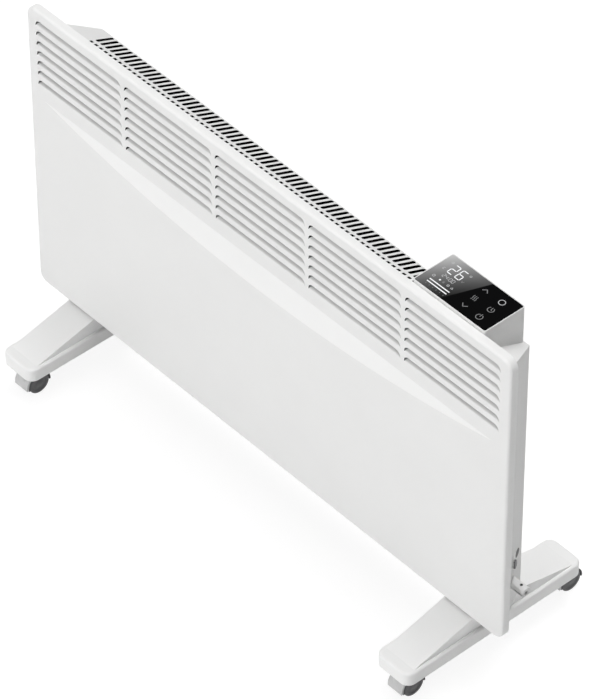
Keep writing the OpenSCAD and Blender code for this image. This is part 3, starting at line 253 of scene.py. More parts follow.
def glass_with_painted_gloss(name):
    """Black glass with a painted reflection: a grey gloss streak that fades across it, cut off on a slant.
    """
    mat, tree, shader = new_material(name)
    coord = tree.nodes.new("ShaderNodeTexCoord")

    def along(x, y, offset):
        dot = tree.nodes.new("ShaderNodeVectorMath")
        dot.operation = "DOT_PRODUCT"
        dot.inputs[1].default_value = (x, y, 0)
        tree.links.new(coord.outputs["Object"], dot.inputs[0])
        return calc(tree, "ADD", dot.outputs["Value"], offset)

    fall_x, fall_y = GLOSS_FALL
    level = along(fall_x, fall_y, GLOSS_LEVEL - fall_x * GLOSS_SPOT[0] - fall_y * GLOSS_SPOT[1])
    gloss_fade = calc(tree, "POWER", level, GLOSS_POWER)
    edge = ramp(tree, along(-1, GLOSS_SLANT, GLOSS_EDGE), 0, 1, 0, GLOSS_BLUR)
    mix = tree.nodes.new("ShaderNodeMix")
    mix.data_type = "RGBA"
    mix.inputs["A"].default_value = (0.0015, 0.0015, 0.0018, 1)
    mix.inputs["B"].default_value = (1, 1, 1, 1)
    tree.links.new(calc(tree, "MULTIPLY", gloss_fade, edge), mix.inputs["Factor"])
    tree.links.new(mix.outputs["Result"], shader.inputs["Base Color"])
    haze = noise(tree, 90, 2.0)
    tree.links.new(ramp(tree, haze.outputs["Fac"], 0.04, 0.09), shader.inputs["Roughness"])
    shader.inputs["Specular IOR Level"].default_value = 0.02
    bump(tree, shader, haze.outputs["Fac"], 0.00001)
    return mat


FINISH = {
    "panel_paint": white_finish("panel_paint", 0.83, 0.36, 900),
    "case_paint": white_finish("case_paint", 0.80, 0.40, 900),
    "zinc": surface("zinc", (0.62, 0.63, 0.65), 0.33, 1400, 0.00003, 0.85, metal=1.0),
    "galvanised": spangled("galvanised", (0.60, 0.62, 0.64), 0.38),
    "aluminium": brushed("aluminium", (0.75, 0.75, 0.76), 0.34, (0.02, 1, 1)),
    "heater_sheath": brushed("heater_sheath", (0.30, 0.27, 0.24), 0.45, (1, 0.1, 0.1)),
    "ceramic": surface("ceramic", (0.80, 0.77, 0.70), 0.62, 1600, 0.00006),
    "brown_plastic": surface("brown_plastic", (0.13, 0.06, 0.03), 0.38, 1800, 0.00003),
    "black_plastic": surface("black_plastic", (0.018, 0.018, 0.019), 0.42, 2200, 0.00004, 0.8),
    "circuit_board": board_finish("circuit_board"),
    "brass": brushed("brass", (0.78, 0.58, 0.27), 0.30, (1, 0.05, 1)),
    "white_plastic": white_finish("white_plastic", 0.77, 0.40, 2600, 0.00003),
    "foot_plastic": white_finish("foot_plastic", 0.88, 0.42, 2200),
    "wire_sleeve": surface("wire_sleeve", (0.52, 0.07, 0.05), 0.48, 1800, 0.00003),
    "black_glass": glass_with_painted_gloss("black_glass"),
    "grey_plastic": surface("grey_plastic", (0.60, 0.60, 0.60), 0.40, 2400, 0.00004),
    "wheel_plastic": surface("wheel_plastic", (0.085, 0.085, 0.088), 0.46, 2000, 0.00005, 0.85),
}
# Near-black painted shade, on faces inside the case and on the panel's slot walls
PAINTED_SHADE_INSIDE = surface("painted_shade_inside", (0.006, 0.006, 0.006), 0.8, 700, 0.00005, 0.8, specular=0.0)
# Painted light: a lighter copy of the panel paint, on the facet
FACET_PAINTED_LIGHT = white_finish("facet_painted_light", 0.95, 0.36, 900, shade=0.99)
# Painted light: a touch lighter copy of the panel paint, on the louvre leaves
LEAF_PAINTED_LIGHT = white_finish("leaf_painted_light", 0.84, 0.36, 900)
# Painted shade: a greyer copy of the case paint, on the splayed side walls
SIDE_PAINTED_SHADE = white_finish("side_painted_shade", 0.66, 0.40, 900)
# Painted shade: dark grey on the clip's hook
CLIP_HOOK_SHADE = surface("clip_hook_shade", (0.16, 0.16, 0.165), 0.45, 2200, 0.00004, 0.85)
LIT = glowing("lit_mark", (0.97, 0.98, 1.0), 0.93)
SOFT = glowing("soft_mark", (0.97, 0.98, 1.0), 0.48)
DIM = glowing("dim_mark", (0.97, 0.98, 1.0), 0.17)

slot_of = {s["node"]: s["material_slot"] for s in frame["record"]["subparts"]}
body_of = {n: b for b, group in frame["record"]["behaviour"]["bodies"].items() for n in group}


def paint(obj, slot):
    obj.data.materials.clear()
    obj.data.materials.append(FINISH[slot])


for name, obj in frame["nodes"].items():
    if obj.data.materials:
        obj.data.materials[0] = FINISH[slot_of[name]]
    else:
        obj.data.materials.append(FINISH[slot_of[name]])


def add_mesh(name, verts, faces, body, slot, normals=None):
    mesh = bpy.data.meshes.new(name)
    mesh.from_pydata(verts, [], faces)
    mesh.validate()
    obj = bpy.data.objects.new(name, mesh)
    scene.collection.objects.link(obj)
    mesh.polygons.foreach_set("use_smooth", [True] * len(mesh.polygons))
    if normals:
        mesh.normals_split_custom_set(normals)
    paint(obj, slot)
    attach(obj, body)
    return obj


def soften(obj, width, angle=30.0, segments=2):
    """Rounds off the edges that turn by more than an angle; the width is in millimetres."""
    soft = obj.modifiers.new("soft_edges", "BEVEL")
    soft.width = width / 1000
    soft.segments = segments
    soft.limit_method = "ANGLE"
    soft.angle_limit = math.radians(angle)
    soft.harden_normals = True


def dressed(node, width, angle=25.0):
    """Copy of a CAD node with its coplanar triangles joined and its edges softened."""
    source = frame["nodes"][node]
    bm = bmesh.new()
    bm.from_mesh(source.data)
    bmesh.ops.remove_doubles(bm, verts=bm.verts, dist=WELD)
    bmesh.ops.dissolve_limit(bm, angle_limit=FLATNESS, verts=bm.verts, edges=bm.edges)
    mesh = bpy.data.meshes.new(node + "_skin")
    bm.to_mesh(mesh)
    bm.free()
    obj = bpy.data.objects.new(node + "_skin", mesh)
    scene.collection.objects.link(obj)
    mesh.polygons.foreach_set("use_smooth", [face.area < LARGE_FACE for face in mesh.polygons])
    soften(obj, width, angle)
    paint(obj, slot_of[node])
    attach(obj, body_of[node])
    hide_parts(node)
    return obj


# Front panel

def sag(x):
    """How far the crown's barrel falls back at a distance from the middle."""
    return BARREL_R - math.sqrt(BARREL_R ** 2 - x * x)


def proud(x, z):
    """How far the face stands out at a point, and which surface it lies on: flat, facet or field."""
    barrel = LEAN * (z - CROWN_FOOT) - sag(x)
    facet = (FACET_TOP - z) * CROWN / FACET_H
    depth = min(barrel, facet)
    if depth <= 0:
        return 0.0, "flat"
    return depth, "facet" if facet < barrel else "field"


def facet_low(x):
    """Height at which the facet meets the crowned field."""
    return (FACET_TOP * CROWN / FACET_H + LEAN * CROWN_FOOT + sag(x)) / (LEAN + CROWN / FACET_H)


def crown_low(x):
    """Height at which the crowned field runs out into the flat."""
    return CROWN_FOOT + sag(x) / LEAN


def face_normal(x, kind):
    if kind == "flat":
        return Vector((0, -1, 0))
    if kind == "facet":
        return Vector((0, -FACET_H, CROWN * FACET_SHADE)).normalized()
    return Vector((x / BARREL_R, -1, -LEAN)).normalized()


def slot_half(u):
    """Half length of a slot at a height above its straight lower edge."""
    over = u - (SLOT_H - SLOT_R)
    if over <= 0:
        return SLOT_LEN / 2
    return SLOT_LEN / 2 - SLOT_R + math.sqrt(max(SLOT_R ** 2 - over ** 2, 0))


def slot_loop(cx, cz, steps=8):
    """A slot's outline: straight below, two round corners above."""
    low = [(cx - SLOT_LEN / 2, cz), (cx + SLOT_LEN / 2, cz)]
    hub_x, hub_z = cx + SLOT_LEN / 2 - SLOT_R, cz + SLOT_H - SLOT_R
    turns = [math.pi / 2 * i / steps for i in range(steps + 1)]
    right = [(hub_x + SLOT_R * math.cos(a), hub_z + SLOT_R * math.sin(a)) for a in turns]
    left = [(2 * cx - x, z) for x, z in reversed(right)]
    return low + right + left


def rounded_loop(inset, steps=14):
    """The panel's outline, drawn in by an amount, anticlockwise from the lower right corner."""
    r = CORNER_R - inset
    out = []
    for k, (sx, sz) in enumerate(((1, 0), (1, 1), (-1, 1), (-1, 0))):
        cx = sx * (PANEL_W / 2 - CORNER_R)
        cz = CORNER_R + sz * (PANEL_H - 2 * CORNER_R)
        for i in range(steps + 1):
            a = -math.pi / 2 + math.pi / 2 * (k + i / steps)
            out.append((cx + r * math.cos(a), cz + r * math.sin(a)))
    return out


slots = [(-PITCH_X * (COLS - 1) / 2 + c * PITCH_X, FIRST_SLOT_Z - r * PITCH_Z)
         for c in range(COLS) for r in range(ROWS)]


# Finishes of the panel's faces, in the order of its materials: paint, painted light on the leaves and
# facet, painted shade on slot walls
PLAIN, LEAF, FACET, WALL_SHADE = range(4)


class Shell:
    """Faces of the panel, given in the panel's own frame, with their corner normals and their finish."""

    def __init__(self):
        self.verts, self.faces, self.normals, self.finish = [], [], [], []

    def add(self, points, normals, finish=PLAIN):
        base = len(self.verts)
        self.verts.extend(place(*p) for p in points)
        self.faces.append(list(range(base, base + len(points))))
        self.normals.extend(normals)
        self.finish.append(finish)


def face_outline():
    """Points and edges of the face: its rim, the slots, the facet, the crown's foot and a grid between."""
    pts, edges = [], []

    def chain(points, closed=True):
        base = len(pts)
        pts.extend(Vector(p) for p in points)
        edges.extend((base + i, base + i + 1) for i in range(len(points) - 1))
        if closed:
            edges.append((base + len(points) - 1, base))

    chain(rounded_loop(EDGE_R))
    for cx, cz in slots:
        chain(slot_loop(cx, cz))
    steps = 60
    xs = [FACET_HALF * math.sin(math.pi / 2 * i / steps) for i in range(-steps, steps + 1)]
    chain([(x, FACET_TOP) for x in xs], False)
    chain([(x, facet_low(x)) for x in xs[1:-1]], False)
    chain([(x, crown_low(x)) for x in xs[1:-1]], False)
    grid_step, grid_half, grid_rows, least_height = 12.0, 32, 14, 30.0
    for i in range(-grid_half, grid_half + 1):
        x = i * grid_step
        height = facet_low(x) - crown_low(x)
        if height > least_height:
            pts.extend(Vector((x, crown_low(x) + height * j / grid_rows)) for j in range(1, grid_rows))
    return pts, edges


def in_slot(x, z):
    return any(cz < z < cz + SLOT_H and abs(x - cx) < slot_half(z - cz) for cx, cz in slots)


def add_face(shell):
    """Flat, facet and crowned field of the face, with the slots left open."""
    pts, edges = face_outline()
    flat, _, tris, _, _, _ = delaunay_2d_cdt(pts, edges, [], 0, 1e-5)
    for tri in tris:
        cx = sum(flat[i].x for i in tri) / len(tri)
        cz = sum(flat[i].y for i in tri) / len(tri)
        if in_slot(cx, cz):
            continue
        kind = proud(cx, cz)[1]
        corners = [flat[i] for i in tri]
        a, b, c = corners[0], corners[1], corners[2]
        if (b.x - a.x) * (c.y - a.y) - (b.y - a.y) * (c.x - a.x) < 0:
            corners.reverse()
        shell.add([(p.x, -proud(p.x, p.y)[0], p.y) for p in corners],
                  [face_normal(p.x, kind) for p in corners], FACET if kind == "facet" else PLAIN)


def add_rim(shell, steps=8):
    """Pressed edge, flange and its return, as rings of inset, depth and the normal's two parts."""
    rows = []
    for i in range(steps + 1):
        a = math.pi / 2 * i / steps
        rows.append((EDGE_R * (1 - math.sin(a)), EDGE_R * (1 - math.cos(a)), math.sin(a), -math.cos(a)))
    rows.append((0, PANEL_DEPTH - RIM_ROUND, 1, 0))
    rows.append((RIM_ROUND, PANEL_DEPTH, 0, 1))
    rows.append((SHEET - RIM_ROUND, PANEL_DEPTH, 0, 1))
    rows.append((SHEET, PANEL_DEPTH - RIM_ROUND, -1, 0))
    rows.append((SHEET, SHEET + EDGE_R, -1, 0))
    rings = [rounded_loop(row[0]) for row in rows]
    dirs = [(Vector(p) - Vector(q)).normalized() for p, q in zip(rounded_loop(0), rounded_loop(1))]
    for (r0, ring0), (r1, ring1) in zip(zip(rows, rings), zip(rows[1:], rings[1:])):
        for i in range(len(dirs)):
            j = (i + 1) % len(dirs)
            pick = [(r1, ring1, i), (r1, ring1, j), (r0, ring0, j), (r0, ring0, i)]
            shell.add([(ring[k][0], r[1], ring[k][1]) for r, ring, k in pick],
                      [Vector((dirs[k].x * r[2], r[3], dirs[k].y * r[2])) for r, ring, k in pick])


# Slot walls, in painted shade
def add_slot_walls(shell, cx, cz):
    edge = slot_loop(cx, cz)
    for (x0, z0), (x1, z1) in zip(edge, edge[1:] + edge[:1]):
        n = Vector((z0 - z1, 0, x1 - x0)).normalized()
        shell.add([(x0, 0, z0), (x1, 0, z1), (x1, SHEET, z1), (x0, SHEET, z0)], [n] * 4, WALL_SHADE)


def leaf_rings(flat, bend_steps=8, end_steps=12):
    """Bend angle, height past the bend and half length of a leaf, from its root to its tip."""
    half = SLOT_LEN / 2 - KERF
    rings = [(LEAF_ANGLE * i / bend_steps, 0.0, half - LEAF_GAP * i / bend_steps)
             for i in range(bend_steps + 1)]
    for i in range(1, end_steps + 1):
        u = flat * math.sin(math.pi / 2 * i / end_steps)
        cut = 1 - max(1 - (u / flat) ** LEAF_ROUND, 0) ** (1 / LEAF_ROUND)
        rings.append((LEAF_ANGLE, u, half - LEAF_GAP - LEAF_END * cut))
    return rings


def add_leaf(shell, cx, cz):
    """One louvre leaf, bent inwards about the slot's lower edge."""
    hub = BEND_R + SHEET
    rings = leaf_rings(SLOT_H - KERF - (BEND_R + SHEET / 2) * LEAF_ANGLE)

    def spot(side, ring, r):
        """Point of one end of a ring, on the outer or the inner side of the sheet."""
        a, u, w = ring
        return (cx + side * w, hub - r * math.cos(a) + u * math.sin(a),
                cz + r * math.sin(a) + u * math.cos(a))

    for ring0, ring1 in zip(rings, rings[1:]):
        for r, flip in ((hub, 1), (BEND_R, -1)):
            n0 = Vector((0, -math.cos(ring0[0]), math.sin(ring0[0]))) * flip
            n1 = Vector((0, -math.cos(ring1[0]), math.sin(ring1[0]))) * flip
            pts = [spot(-1, ring0, r), spot(1, ring0, r), spot(1, ring1, r), spot(-1, ring1, r)]
            shell.add(pts[::flip], [n0, n0, n1, n1][::flip], LEAF)
        for side in (-1, 1):
            pts = [spot(side, ring0, hub), spot(side, ring0, BEND_R),
                   spot(side, ring1, BEND_R), spot(side, ring1, hub)]
            shell.add(pts[::side], [Vector((side, 0, 0))] * 4, LEAF)
    tip = rings[-1]
    n = Vector((0, math.sin(tip[0]), math.cos(tip[0])))
    shell.add([spot(-1, tip, hub), spot(1, tip, hub), spot(1, tip, BEND_R), spot(-1, tip, BEND_R)],
              [n] * 4, LEAF)


def build_panel():
    shell = Shell()
    add_face(shell)
    add_rim(shell)
    for cx, cz in slots:
        add_slot_walls(shell, cx, cz)
        add_leaf(shell, cx, cz)
    obj = add_mesh("panel_skin", shell.verts, shell.faces, "heater", "panel_paint", shell.normals)
    # Painted light on the leaves and the facet, and painted shade on the slot walls
    for mat in (LEAF_PAINTED_LIGHT, FACET_PAINTED_LIGHT, PAINTED_SHADE_INSIDE):
        obj.data.materials.append(mat)
    obj.data.polygons.foreach_set("material_index", shell.finish)
    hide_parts("front_panel")


build_panel()

# Rear case and the other pieces whose edges are softened


def inside_case(p):
    """Whether a point in metres of the row frame lies in the case's inner room."""
    x, y, z = p.x * 1000, p.y * 1000 - FACE_Y, p.z * 1000 - PANEL_Z
    half = CASE_HALF + (CASE_DEPTH - y) * math.tan(SPLAY) - ROOM_SIDE
    top = CASE_TOP + (CASE_DEPTH - y) * math.tan(SLOPE) - ROOM_TOP
    return (abs(x) < min(half, PANEL_W / 2 - ROOM_RIM) and 0 < y < CASE_DEPTH - ROOM_BACK
            and ROOM_FLOOR < z < min(top, PANEL_H - ROOM_RIM))


def paint_shade_inside(obj, share=0.6):
    """Painted shade: near-black finish on faces that look into the room, judged by their middle or a share
    of their corners.
    """
    mesh = obj.data
    mesh.materials.append(PAINTED_SHADE_INSIDE)
    for face in mesh.polygons:
        if face.area < SMALL_FACE:
            spots = [face.center]
        else:
            spots = [mesh.vertices[i].co for i in face.vertices]
        inner = sum(inside_case(p + face.normal * PROBE) for p in spots)
        if inner > share * len(spots):
            face.material_index = 1


def paint_side_shade(obj, margin=1, sideways=0.8):
    """Painted shade: greyer paint on the outside of the two splayed walls, which are seen darker."""
    mesh = obj.data
    mesh.materials.append(SIDE_PAINTED_SHADE)
    for face in mesh.polygons:
        outer = abs(face.center.x) * 1000 > CASE_HALF - margin and abs(face.normal.x) > sideways
        if outer and face.material_index == 0:
            face.material_index = 2


case_skin = dressed("rear_case", 0.35)
# Painted shade on the faces inside the case
paint_shade_inside(case_skin)
# Painted shade on the outside of the splayed side walls
paint_side_shade(case_skin)
for node, width in (("control_tower", 0.9), ("foot_left", 0.7), ("foot_right", 0.7), ("cord_gland", 0.5)):
    dressed(node, width)
for key in ("fl", "fr", "bl", "br"):
    dressed("housing_" + key, 0.35)
    dressed("hood_" + key, 0.5)
    dressed("wheels_" + key, 0.3, 35)

# Cord clamp, sensor slit and clip on the right wall, partly in painted shade

# Row frame: the clamp's axis in y and z, and its ends in x
CLAMP_AXIS, CLAMP_X = (2.05, 125.0), (370.0, 404.8)
CLAMP_R, CLAMP_BORE, CLAMP_GAP, GAP_SHADE_R = 6.9, 4.3, 0.8, 5.6
# How far the upper half starts further out, and the lower half and the dark core of painted shade end
# sooner
UPPER_START, LOWER_SHORT, GAP_SHADE_SHORT = 3.0, 2.0, 3.0
CLAMP_SCREW_X, CLAMP_SCREW_R, SCREW_SUNK, SCREW_PROUD = 396.0, 1.9, 2.0, 0.15
# Places on the right wall in y and z, and half widths and half heights along it
SLIT_SPOT, SLIT_HALF, SLIT_IN, SLIT_OUT = (13.6, 161.2), (6.4, 5.4), 0.1, 0.5
CLIP_SPOT, CLIP_HALF, CLIP_PLATE, CLIP_OUT = (3.05, 160.5), (3.6, 10.5), 0.8, 3.0


def add_solid(name, sides, slot, width):
    """A closed piece from two matching outlines, with softened edges."""
    low, high = sides
    count = len(low)
    faces = [list(range(count))[::-1], list(range(count, 2 * count))]
    faces += [[i, (i + 1) % count, (i + 1) % count + count, i + count] for i in range(count)]
    obj = add_mesh(name, [Vector(p) / 1000 for p in low + high], faces, "heater", slot)
    bm = bmesh.new()
    bm.from_mesh(obj.data)
    bmesh.ops.recalc_face_normals(bm, faces=bm.faces)
    bm.to_mesh(obj.data)
    bm.free()
    soften(obj, width)
    return obj


def clamp_half(side, x0, x1, steps=16):
    """Outline of one half of the clamp round the gland, at both ends."""
    lift = math.asin(CLAMP_GAP / CLAMP_R)
    turns = [lift + (math.pi - 2 * lift) * i / steps for i in range(steps + 1)]
    ring = [(CLAMP_R, a) for a in turns] + [(CLAMP_BORE, a) for a in reversed(turns)]
    spots = [(CLAMP_AXIS[0] + r * math.cos(a), CLAMP_AXIS[1] + side * max(r * math.sin(a), CLAMP_GAP))
             for r, a in ring]
    return [[(x, y, z) for y, z in spots] for x in (x0, x1)]


def circle(count, r):
    return [(r * math.cos(2 * math.pi * i / count), r * math.sin(2 * math.pi * i / count))
            for i in range(count)]


def build_clamp():
    axis_y, axis_z = CLAMP_AXIS
    start, end = CLAMP_X
    add_solid("clamp_upper", clamp_half(1, start + UPPER_START, end), "white_plastic", 0.5)
    # Painted shade: the lower half in grey, darker than the white upper half
    add_solid("clamp_lower", clamp_half(-1, start, end - LOWER_SHORT), "grey_plastic", 0.5)
    # Painted shade: a black core that darkens the gap between the halves
    gap_shade = [[(x, axis_y + a, axis_z + b) for a, b in circle(24, GAP_SHADE_R)]
              for x in (start, end - GAP_SHADE_SHORT)]
    add_solid("clamp_gap_shade", gap_shade, "black_plastic", 0.2)
    top = axis_z + CLAMP_R
    screw = [[(CLAMP_SCREW_X + a, axis_y + b, z) for a, b in circle(20, CLAMP_SCREW_R)]
             for z in (top - SCREW_SUNK, top + SCREW_PROUD)]
    add_solid("clamp_screw", screw, "black_plastic", 0.15)


def on_wall(spot, points, inner, outer):
    """Outline in the splayed wall's own directions, at two distances out from the wall."""
    y, z = spot
    along = Vector((-math.sin(SPLAY), math.cos(SPLAY), 0))
    out = Vector((math.cos(SPLAY), math.sin(SPLAY), 0))
    middle = Vector((CASE_HALF + (CASE_DEPTH - (y - FACE_Y)) * math.tan(SPLAY), y, z))
    flat = [middle + along * a + Vector((0, 0, b)) for a, b in points]
    return [[tuple(p + out * reach) for p in flat] for reach in (inner, outer)]


def build_slit_and_clip():
    """Room sensor's slit as a dark oval of painted shade, and the clip beside it, its hook in painted
    shade.
    """
    oval = [(SLIT_HALF[0] * a, SLIT_HALF[1] * b) for a, b in circle(28, 1)]
    # Painted shade: a black oval standing out from the wall where the sensor's slit is
    add_solid("sensor_slit_shade", on_wall(SLIT_SPOT, oval, SLIT_IN, SLIT_OUT), "black_plastic", 0.15)
    w, h = CLIP_HALF
    plate = [(-w, -h), (w, -h), (w, h), (-w, h)]
    skin = add_solid("clip_skin", on_wall(CLIP_SPOT, plate, 0, CLIP_PLATE), "white_plastic", 0.3)
    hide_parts("sensor_clip")
    hook = [(-w, -h), (w * 0.8, -h), (w, -h * 0.5), (w * 0.5, 0), (-w, h * 0.1)]
    lug = add_solid("clip_hook", on_wall(CLIP_SPOT, hook, CLIP_PLATE, CLIP_OUT), "white_plastic", 0.4)
    # Painted shade: the hook is dark grey though it is white plastic
    lug.data.materials[0] = CLIP_HOOK_SHADE


build_clamp()
build_slit_and_clip()

# Touch glass and its lit marks

def build_glass(steps=8):
    x0, y0, z0 = glass_low
    x1, y1, _ = glass_high
    ring = []
    for k, (cx, cy) in enumerate(((x1, y0), (x1, y1), (x0, y1), (x0, y0))):
        cx += GLASS_R if cx == x0 else -GLASS_R
        cy += GLASS_R if cy == y0 else -GLASS_R
        for i in range(steps + 1):
            a = -math.pi / 2 + math.pi / 2 * (k + i / steps)
            ring.append((cx + GLASS_R * math.cos(a), cy + GLASS_R * math.sin(a)))
    sides = [[(x, y, z) for x, y in ring] for z in (z0, GLASS_TOP)]
    skin = add_solid("glass_skin", sides, "black_glass", 0.3)
    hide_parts("touch_glass")


class Marks:
    """Flat strokes on the glass, gathered in one mesh per brightness."""

    def __init__(self, name, mat):
        self.name, self.mat, self.verts, self.faces = name, mat, [], []

    def fill(self, points):
        base = len(self.verts)
        z = (GLASS_TOP + MARK_LIFT) / 1000
        self.verts.extend((x / 1000, y / 1000, z) for x, y in points)
        self.faces.append(list(range(base, base + len(points))))

    def stroke(self, points, width):
        h = width / 2
        for (x0, y0), (x1, y1) in zip(points, points[1:]):
            d = math.hypot(x1 - x0, y1 - y0)
            nx, ny = (y0 - y1) / d * h, (x1 - x0) / d * h
            self.fill([(x0 - nx, y0 - ny), (x1 - nx, y1 - ny), (x1 + nx, y1 + ny), (x0 + nx, y0 + ny)])
        for x, y in points[1:-1]:
            self.disc(x, y, h, 8)

    def disc(self, x, y, r, count=20):
        self.fill([(x + a, y + b) for a, b in circle(count, r)])

    def arc(self, x, y, r, width, start=0, end=360):
        steps = max(6, int((end - start) / 12))
        spots = [math.radians(start + (end - start) * i / steps) for i in range(steps + 1)]
        inner, outer = r - width / 2, r + width / 2
        for a, b in zip(spots, spots[1:]):
            self.fill([(x + q * math.cos(t), y + q * math.sin(t))
                       for q, t in ((inner, a), (outer, a), (outer, b), (inner, b))])

    def digit(self, value, x, y, w, h, t):
        """Seven segments, each a bar with pointed ends; x and y are the middle of the digit."""
        lit = {"0": "abcdef", "2": "abged", "4": "fgbc", "6": "afgedc"}[value]
        left, right, low, mid, high = x - w / 2, x + w / 2, y - h / 2, y, y + h / 2
        ends = {"a": (left, high, right, high), "g": (left, mid, right, mid), "d": (left, low, right, low),
                "f": (left, mid, left, high), "b": (right, mid, right, high),
                "e": (left, low, left, mid), "c": (right, low, right, mid)}
        for key in lit:
            x0, y0, x1, y1 = ends[key]
            d = math.hypot(x1 - x0, y1 - y0)
            ux, uy = (x1 - x0) / d, (y1 - y0) / d
            gap, k = t * 0.12, t / 2
            ax, ay, bx, by = x0 + ux * gap, y0 + uy * gap, x1 - ux * gap, y1 - uy * gap
            plus, minus = (ux + uy) * k, (ux - uy) * k
            self.fill([(ax, ay), (ax + plus, ay - minus), (bx - minus, by - plus),
                       (bx, by), (bx - plus, by + minus), (ax + minus, ay + plus)])

    def build(self):
        mesh = bpy.data.meshes.new(self.name)
        mesh.from_pydata(self.verts, [], self.faces)
        obj = bpy.data.objects.new(self.name, mesh)
        scene.collection.objects.link(obj)
        mesh.materials.append(self.mat)
        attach(obj, "heater")


def build_marks():
    """Marks of the display and the touch keys; x and y are millimetres of the row frame."""
    lit, soft, dim = Marks("marks_lit", LIT), Marks("marks_soft", SOFT), Marks("marks_dim", DIM)
    # temperature and clock
    lit.digit("2", 263.8, 9.7, 7.4, 15.2, 1.35)
    lit.digit("6", 275.6, 9.7, 7.4, 15.2, 1.35)
    for value, x in (("2", 262.6), ("4", 266.8), ("0", 273.0), ("0", 277.2)):
        soft.digit(value, x, -4.4, 2.8, 5.0, 0.7)
    for y in (-5.6, -3.2):
        soft.disc(269.9, y, 0.5)
    soft.arc(284.2, 16.2, 1.2, 0.6)
    dim.stroke([(282.6, 4.6), (284.2, 1.6), (285.8, 4.6)], 0.7)
    # weather and week marks at the left, then a row of small icons
    soft.arc(254.4, 17.0, 1.1, 0.6)
    for i in range(8):
        a = math.pi / 4 * i
        soft.stroke([(254.4 + 1.7 * math.cos(a), 17 + 1.7 * math.sin(a)),
                     (254.4 + 2.4 * math.cos(a), 17 + 2.4 * math.sin(a))], 0.4)
    soft.arc(253.8, 3.8, 1.5, 0.6, 60, 300)
    soft.arc(254.8, -12.6, 1.7, 0.6)
    soft.stroke([(254.8, -11.5), (254.8, -12.7), (255.7, -12.7)], 0.45)
    lit.disc(264.8, -12.7, 1.3)
    dim.arc(270.5, -12.2, 1.1, 0.5, 0, 180)
    dim.fill([(269.2, -14.0), (271.8, -14.0), (271.8, -12.2), (269.2, -12.2)])
    soft.arc(277.8, -12.6, 1.3, 0.8)
    soft.stroke([(282.6, -13.8), (284.1, -11.2), (285.6, -13.8), (282.6, -13.8)], 0.6)
    # two level bars with faint ticks
    for y, x0, x1 in ((-19.2, 255.2, 287.0), (-23.6, 255.4, 286.8)):
        lit.fill([(x0, y - 0.75), (x1, y - 0.75), (x1, y + 0.75), (x0, y + 0.75)])
    for i in range(6):
        dim.stroke([(257.5 + 5.6 * i, -28.2), (257.5 + 5.6 * i, -26.4)], 0.6)
    # touch marks: down, up, heat, power, timer and a ring
    dim.stroke([(308.9, -19.3), (313.0, -23.4), (317.1, -19.3)], 1.0)
    dim.stroke([(307.9, 10.9), (312.0, 15.0), (316.1, 10.9)], 1.0)
    for x in (309.6, 312.2, 314.8):
        wave = [(x + 0.6 * math.sin(2 * math.pi * i / 12), -8.4 + 7.6 * i / 12) for i in range(13)]
        dim.stroke(wave, 0.9)
    dim.arc(337.6, -21.4, 4.1, 0.9, 115, 425)
    dim.stroke([(337.6, -21.0), (337.6, -16.0)], 0.9)
    dim.arc(337.9, -4.2, 4.0, 0.9, 130, 420)
    dim.stroke([(337.9, -0.2), (337.9, -4.2), (339.8, -5.1)], 0.8)
    soft.arc(337.7, 12.9, 4.0, 0.9)
    for group in (lit, soft, dim):
        group.build()


build_glass()
build_marks()

# Camera, solved from the photograph

AZ, EL, ROLL = (math.radians(a) for a in (48.46, 43.37, -0.22))
CAMERA_SPOT = (3.2426, -2.86565, 4.3131)
FOCAL_PIXELS, PHOTO_HEIGHT, SENSOR = 5057.2, 700, 36


def build_camera():
    back = Vector((math.sin(AZ) * math.cos(EL), -math.cos(AZ) * math.cos(EL), math.sin(EL)))
    right = Vector((math.cos(AZ), math.sin(AZ), 0))
    up = back.cross(right)
    tilted_right = right * math.cos(ROLL) + up * math.sin(ROLL)
    tilted_up = up * math.cos(ROLL) - right * math.sin(ROLL)
    camera = bpy.data.objects.new("camera", bpy.data.cameras.new("camera"))
    camera.data.lens = FOCAL_PIXELS * SENSOR / PHOTO_HEIGHT
    camera.data.clip_end = 50
    turn = Matrix((tilted_right, tilted_up, back)).transposed().to_4x4()
    camera.matrix_world = Matrix.Translation(Vector(CAMERA_SPOT)) @ turn
    scene.collection.objects.link(camera)
    scene.camera = camera


build_camera()

# Floor, light and world

# In metres: half the floor's side, and how far it lies below z = 0
FLOOR_HALF, FLOOR_DROP = 6.0, 0.0004
# Emission and share of the white look that the floor has for the camera, over its lit paint
FLOOR_WHITE, FLOOR_SHARE = 1.12, 0.8
# Strength of the world as a light
GROUND_STRENGTH = 0.01

scene.view_settings.view_transform = "Standard"


def seen_white(tree, surface_socket, emitter, share):
    """Adds a white look for camera, glossy and transmission rays, on top of how a surface is lit."""
    path = tree.nodes.new("ShaderNodeLightPath")
    total = path.outputs["Is Camera Ray"]
    for name in ("Is Glossy Ray", "Is Transmission Ray"):
        total = calc(tree, "MAXIMUM", total, path.outputs[name])
    mix = tree.nodes.new("ShaderNodeMixShader")
    tree.links.new(calc(tree, "MULTIPLY", total, share), mix.inputs["Fac"])
    tree.links.new(surface_socket, mix.inputs[1])
    tree.links.new(emitter, mix.inputs[2])
    return mix.outputs["Shader"]


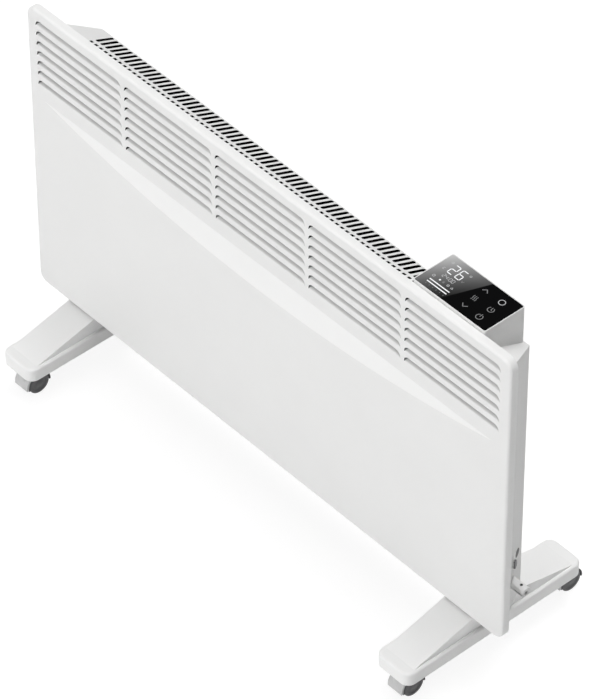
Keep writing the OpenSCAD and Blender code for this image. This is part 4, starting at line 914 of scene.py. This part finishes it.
def build_floor():
    mat, tree, shader = new_material("floor")
    grain = noise(tree, 30, 3.0)
    tree.links.new(tint(tree, ramp(tree, grain.outputs["Fac"], 0, 1), (0.85, 0.85, 0.85), 0.99),
                   shader.inputs["Base Color"])
    shader.inputs["Roughness"].default_value = 0.9
    white = tree.nodes.new("ShaderNodeEmission")
    white.inputs["Strength"].default_value = FLOOR_WHITE
    look = seen_white(tree, shader.outputs["BSDF"], white.outputs["Emission"], FLOOR_SHARE)
    tree.links.new(look, tree.nodes["Material Output"].inputs["Surface"])
    bm = bmesh.new()
    bmesh.ops.create_grid(bm, x_segments=8, y_segments=8, size=FLOOR_HALF)
    mesh = bpy.data.meshes.new("floor")
    bm.to_mesh(mesh)
    bm.free()
    floor = bpy.data.objects.new("floor", mesh)
    floor.location.z = -FLOOR_DROP
    mesh.materials.append(mat)
    scene.collection.objects.link(floor)


def build_world():
    """White for the camera and in reflections, and nearly dark as a light."""
    world = bpy.data.worlds.new("studio")
    scene.world = world
    world.use_nodes = True
    tree = world.node_tree
    ground = tree.nodes["Background"]
    ground.inputs["Color"].default_value = (1, 1, 1, 1)
    ground.inputs["Strength"].default_value = GROUND_STRENGTH
    sky = tree.nodes.new("ShaderNodeBackground")
    sky.inputs["Color"].default_value = (1, 1, 1, 1)
    look = seen_white(tree, ground.outputs["Background"], sky.outputs["Background"], 1.0)
    tree.links.new(look, tree.nodes["World Output"].inputs["Surface"])


def lamp(name, azimuth, elevation, level, spread):
    """Soft source far away, of a spread in degrees; azimuth 0 is in front of the panel, 90 at its right."""
    data = bpy.data.lights.new(name, "SUN")
    data.energy = level * math.pi
    data.angle = math.radians(spread)
    obj = bpy.data.objects.new(name, data)
    a, e = math.radians(azimuth), math.radians(elevation)
    way = Vector((math.sin(a) * math.cos(e), -math.cos(a) * math.cos(e), math.sin(e)))
    obj.rotation_euler = way.to_track_quat("Z", "Y").to_euler()
    obj.location = way * 4
    scene.collection.objects.link(obj)


build_floor()
build_world()
lamp("front", 0, 15, 0.56, 60)
lamp("top", 0, 88, 0.43, 60)
lamp("back", 180, 75, 0.46, 30)
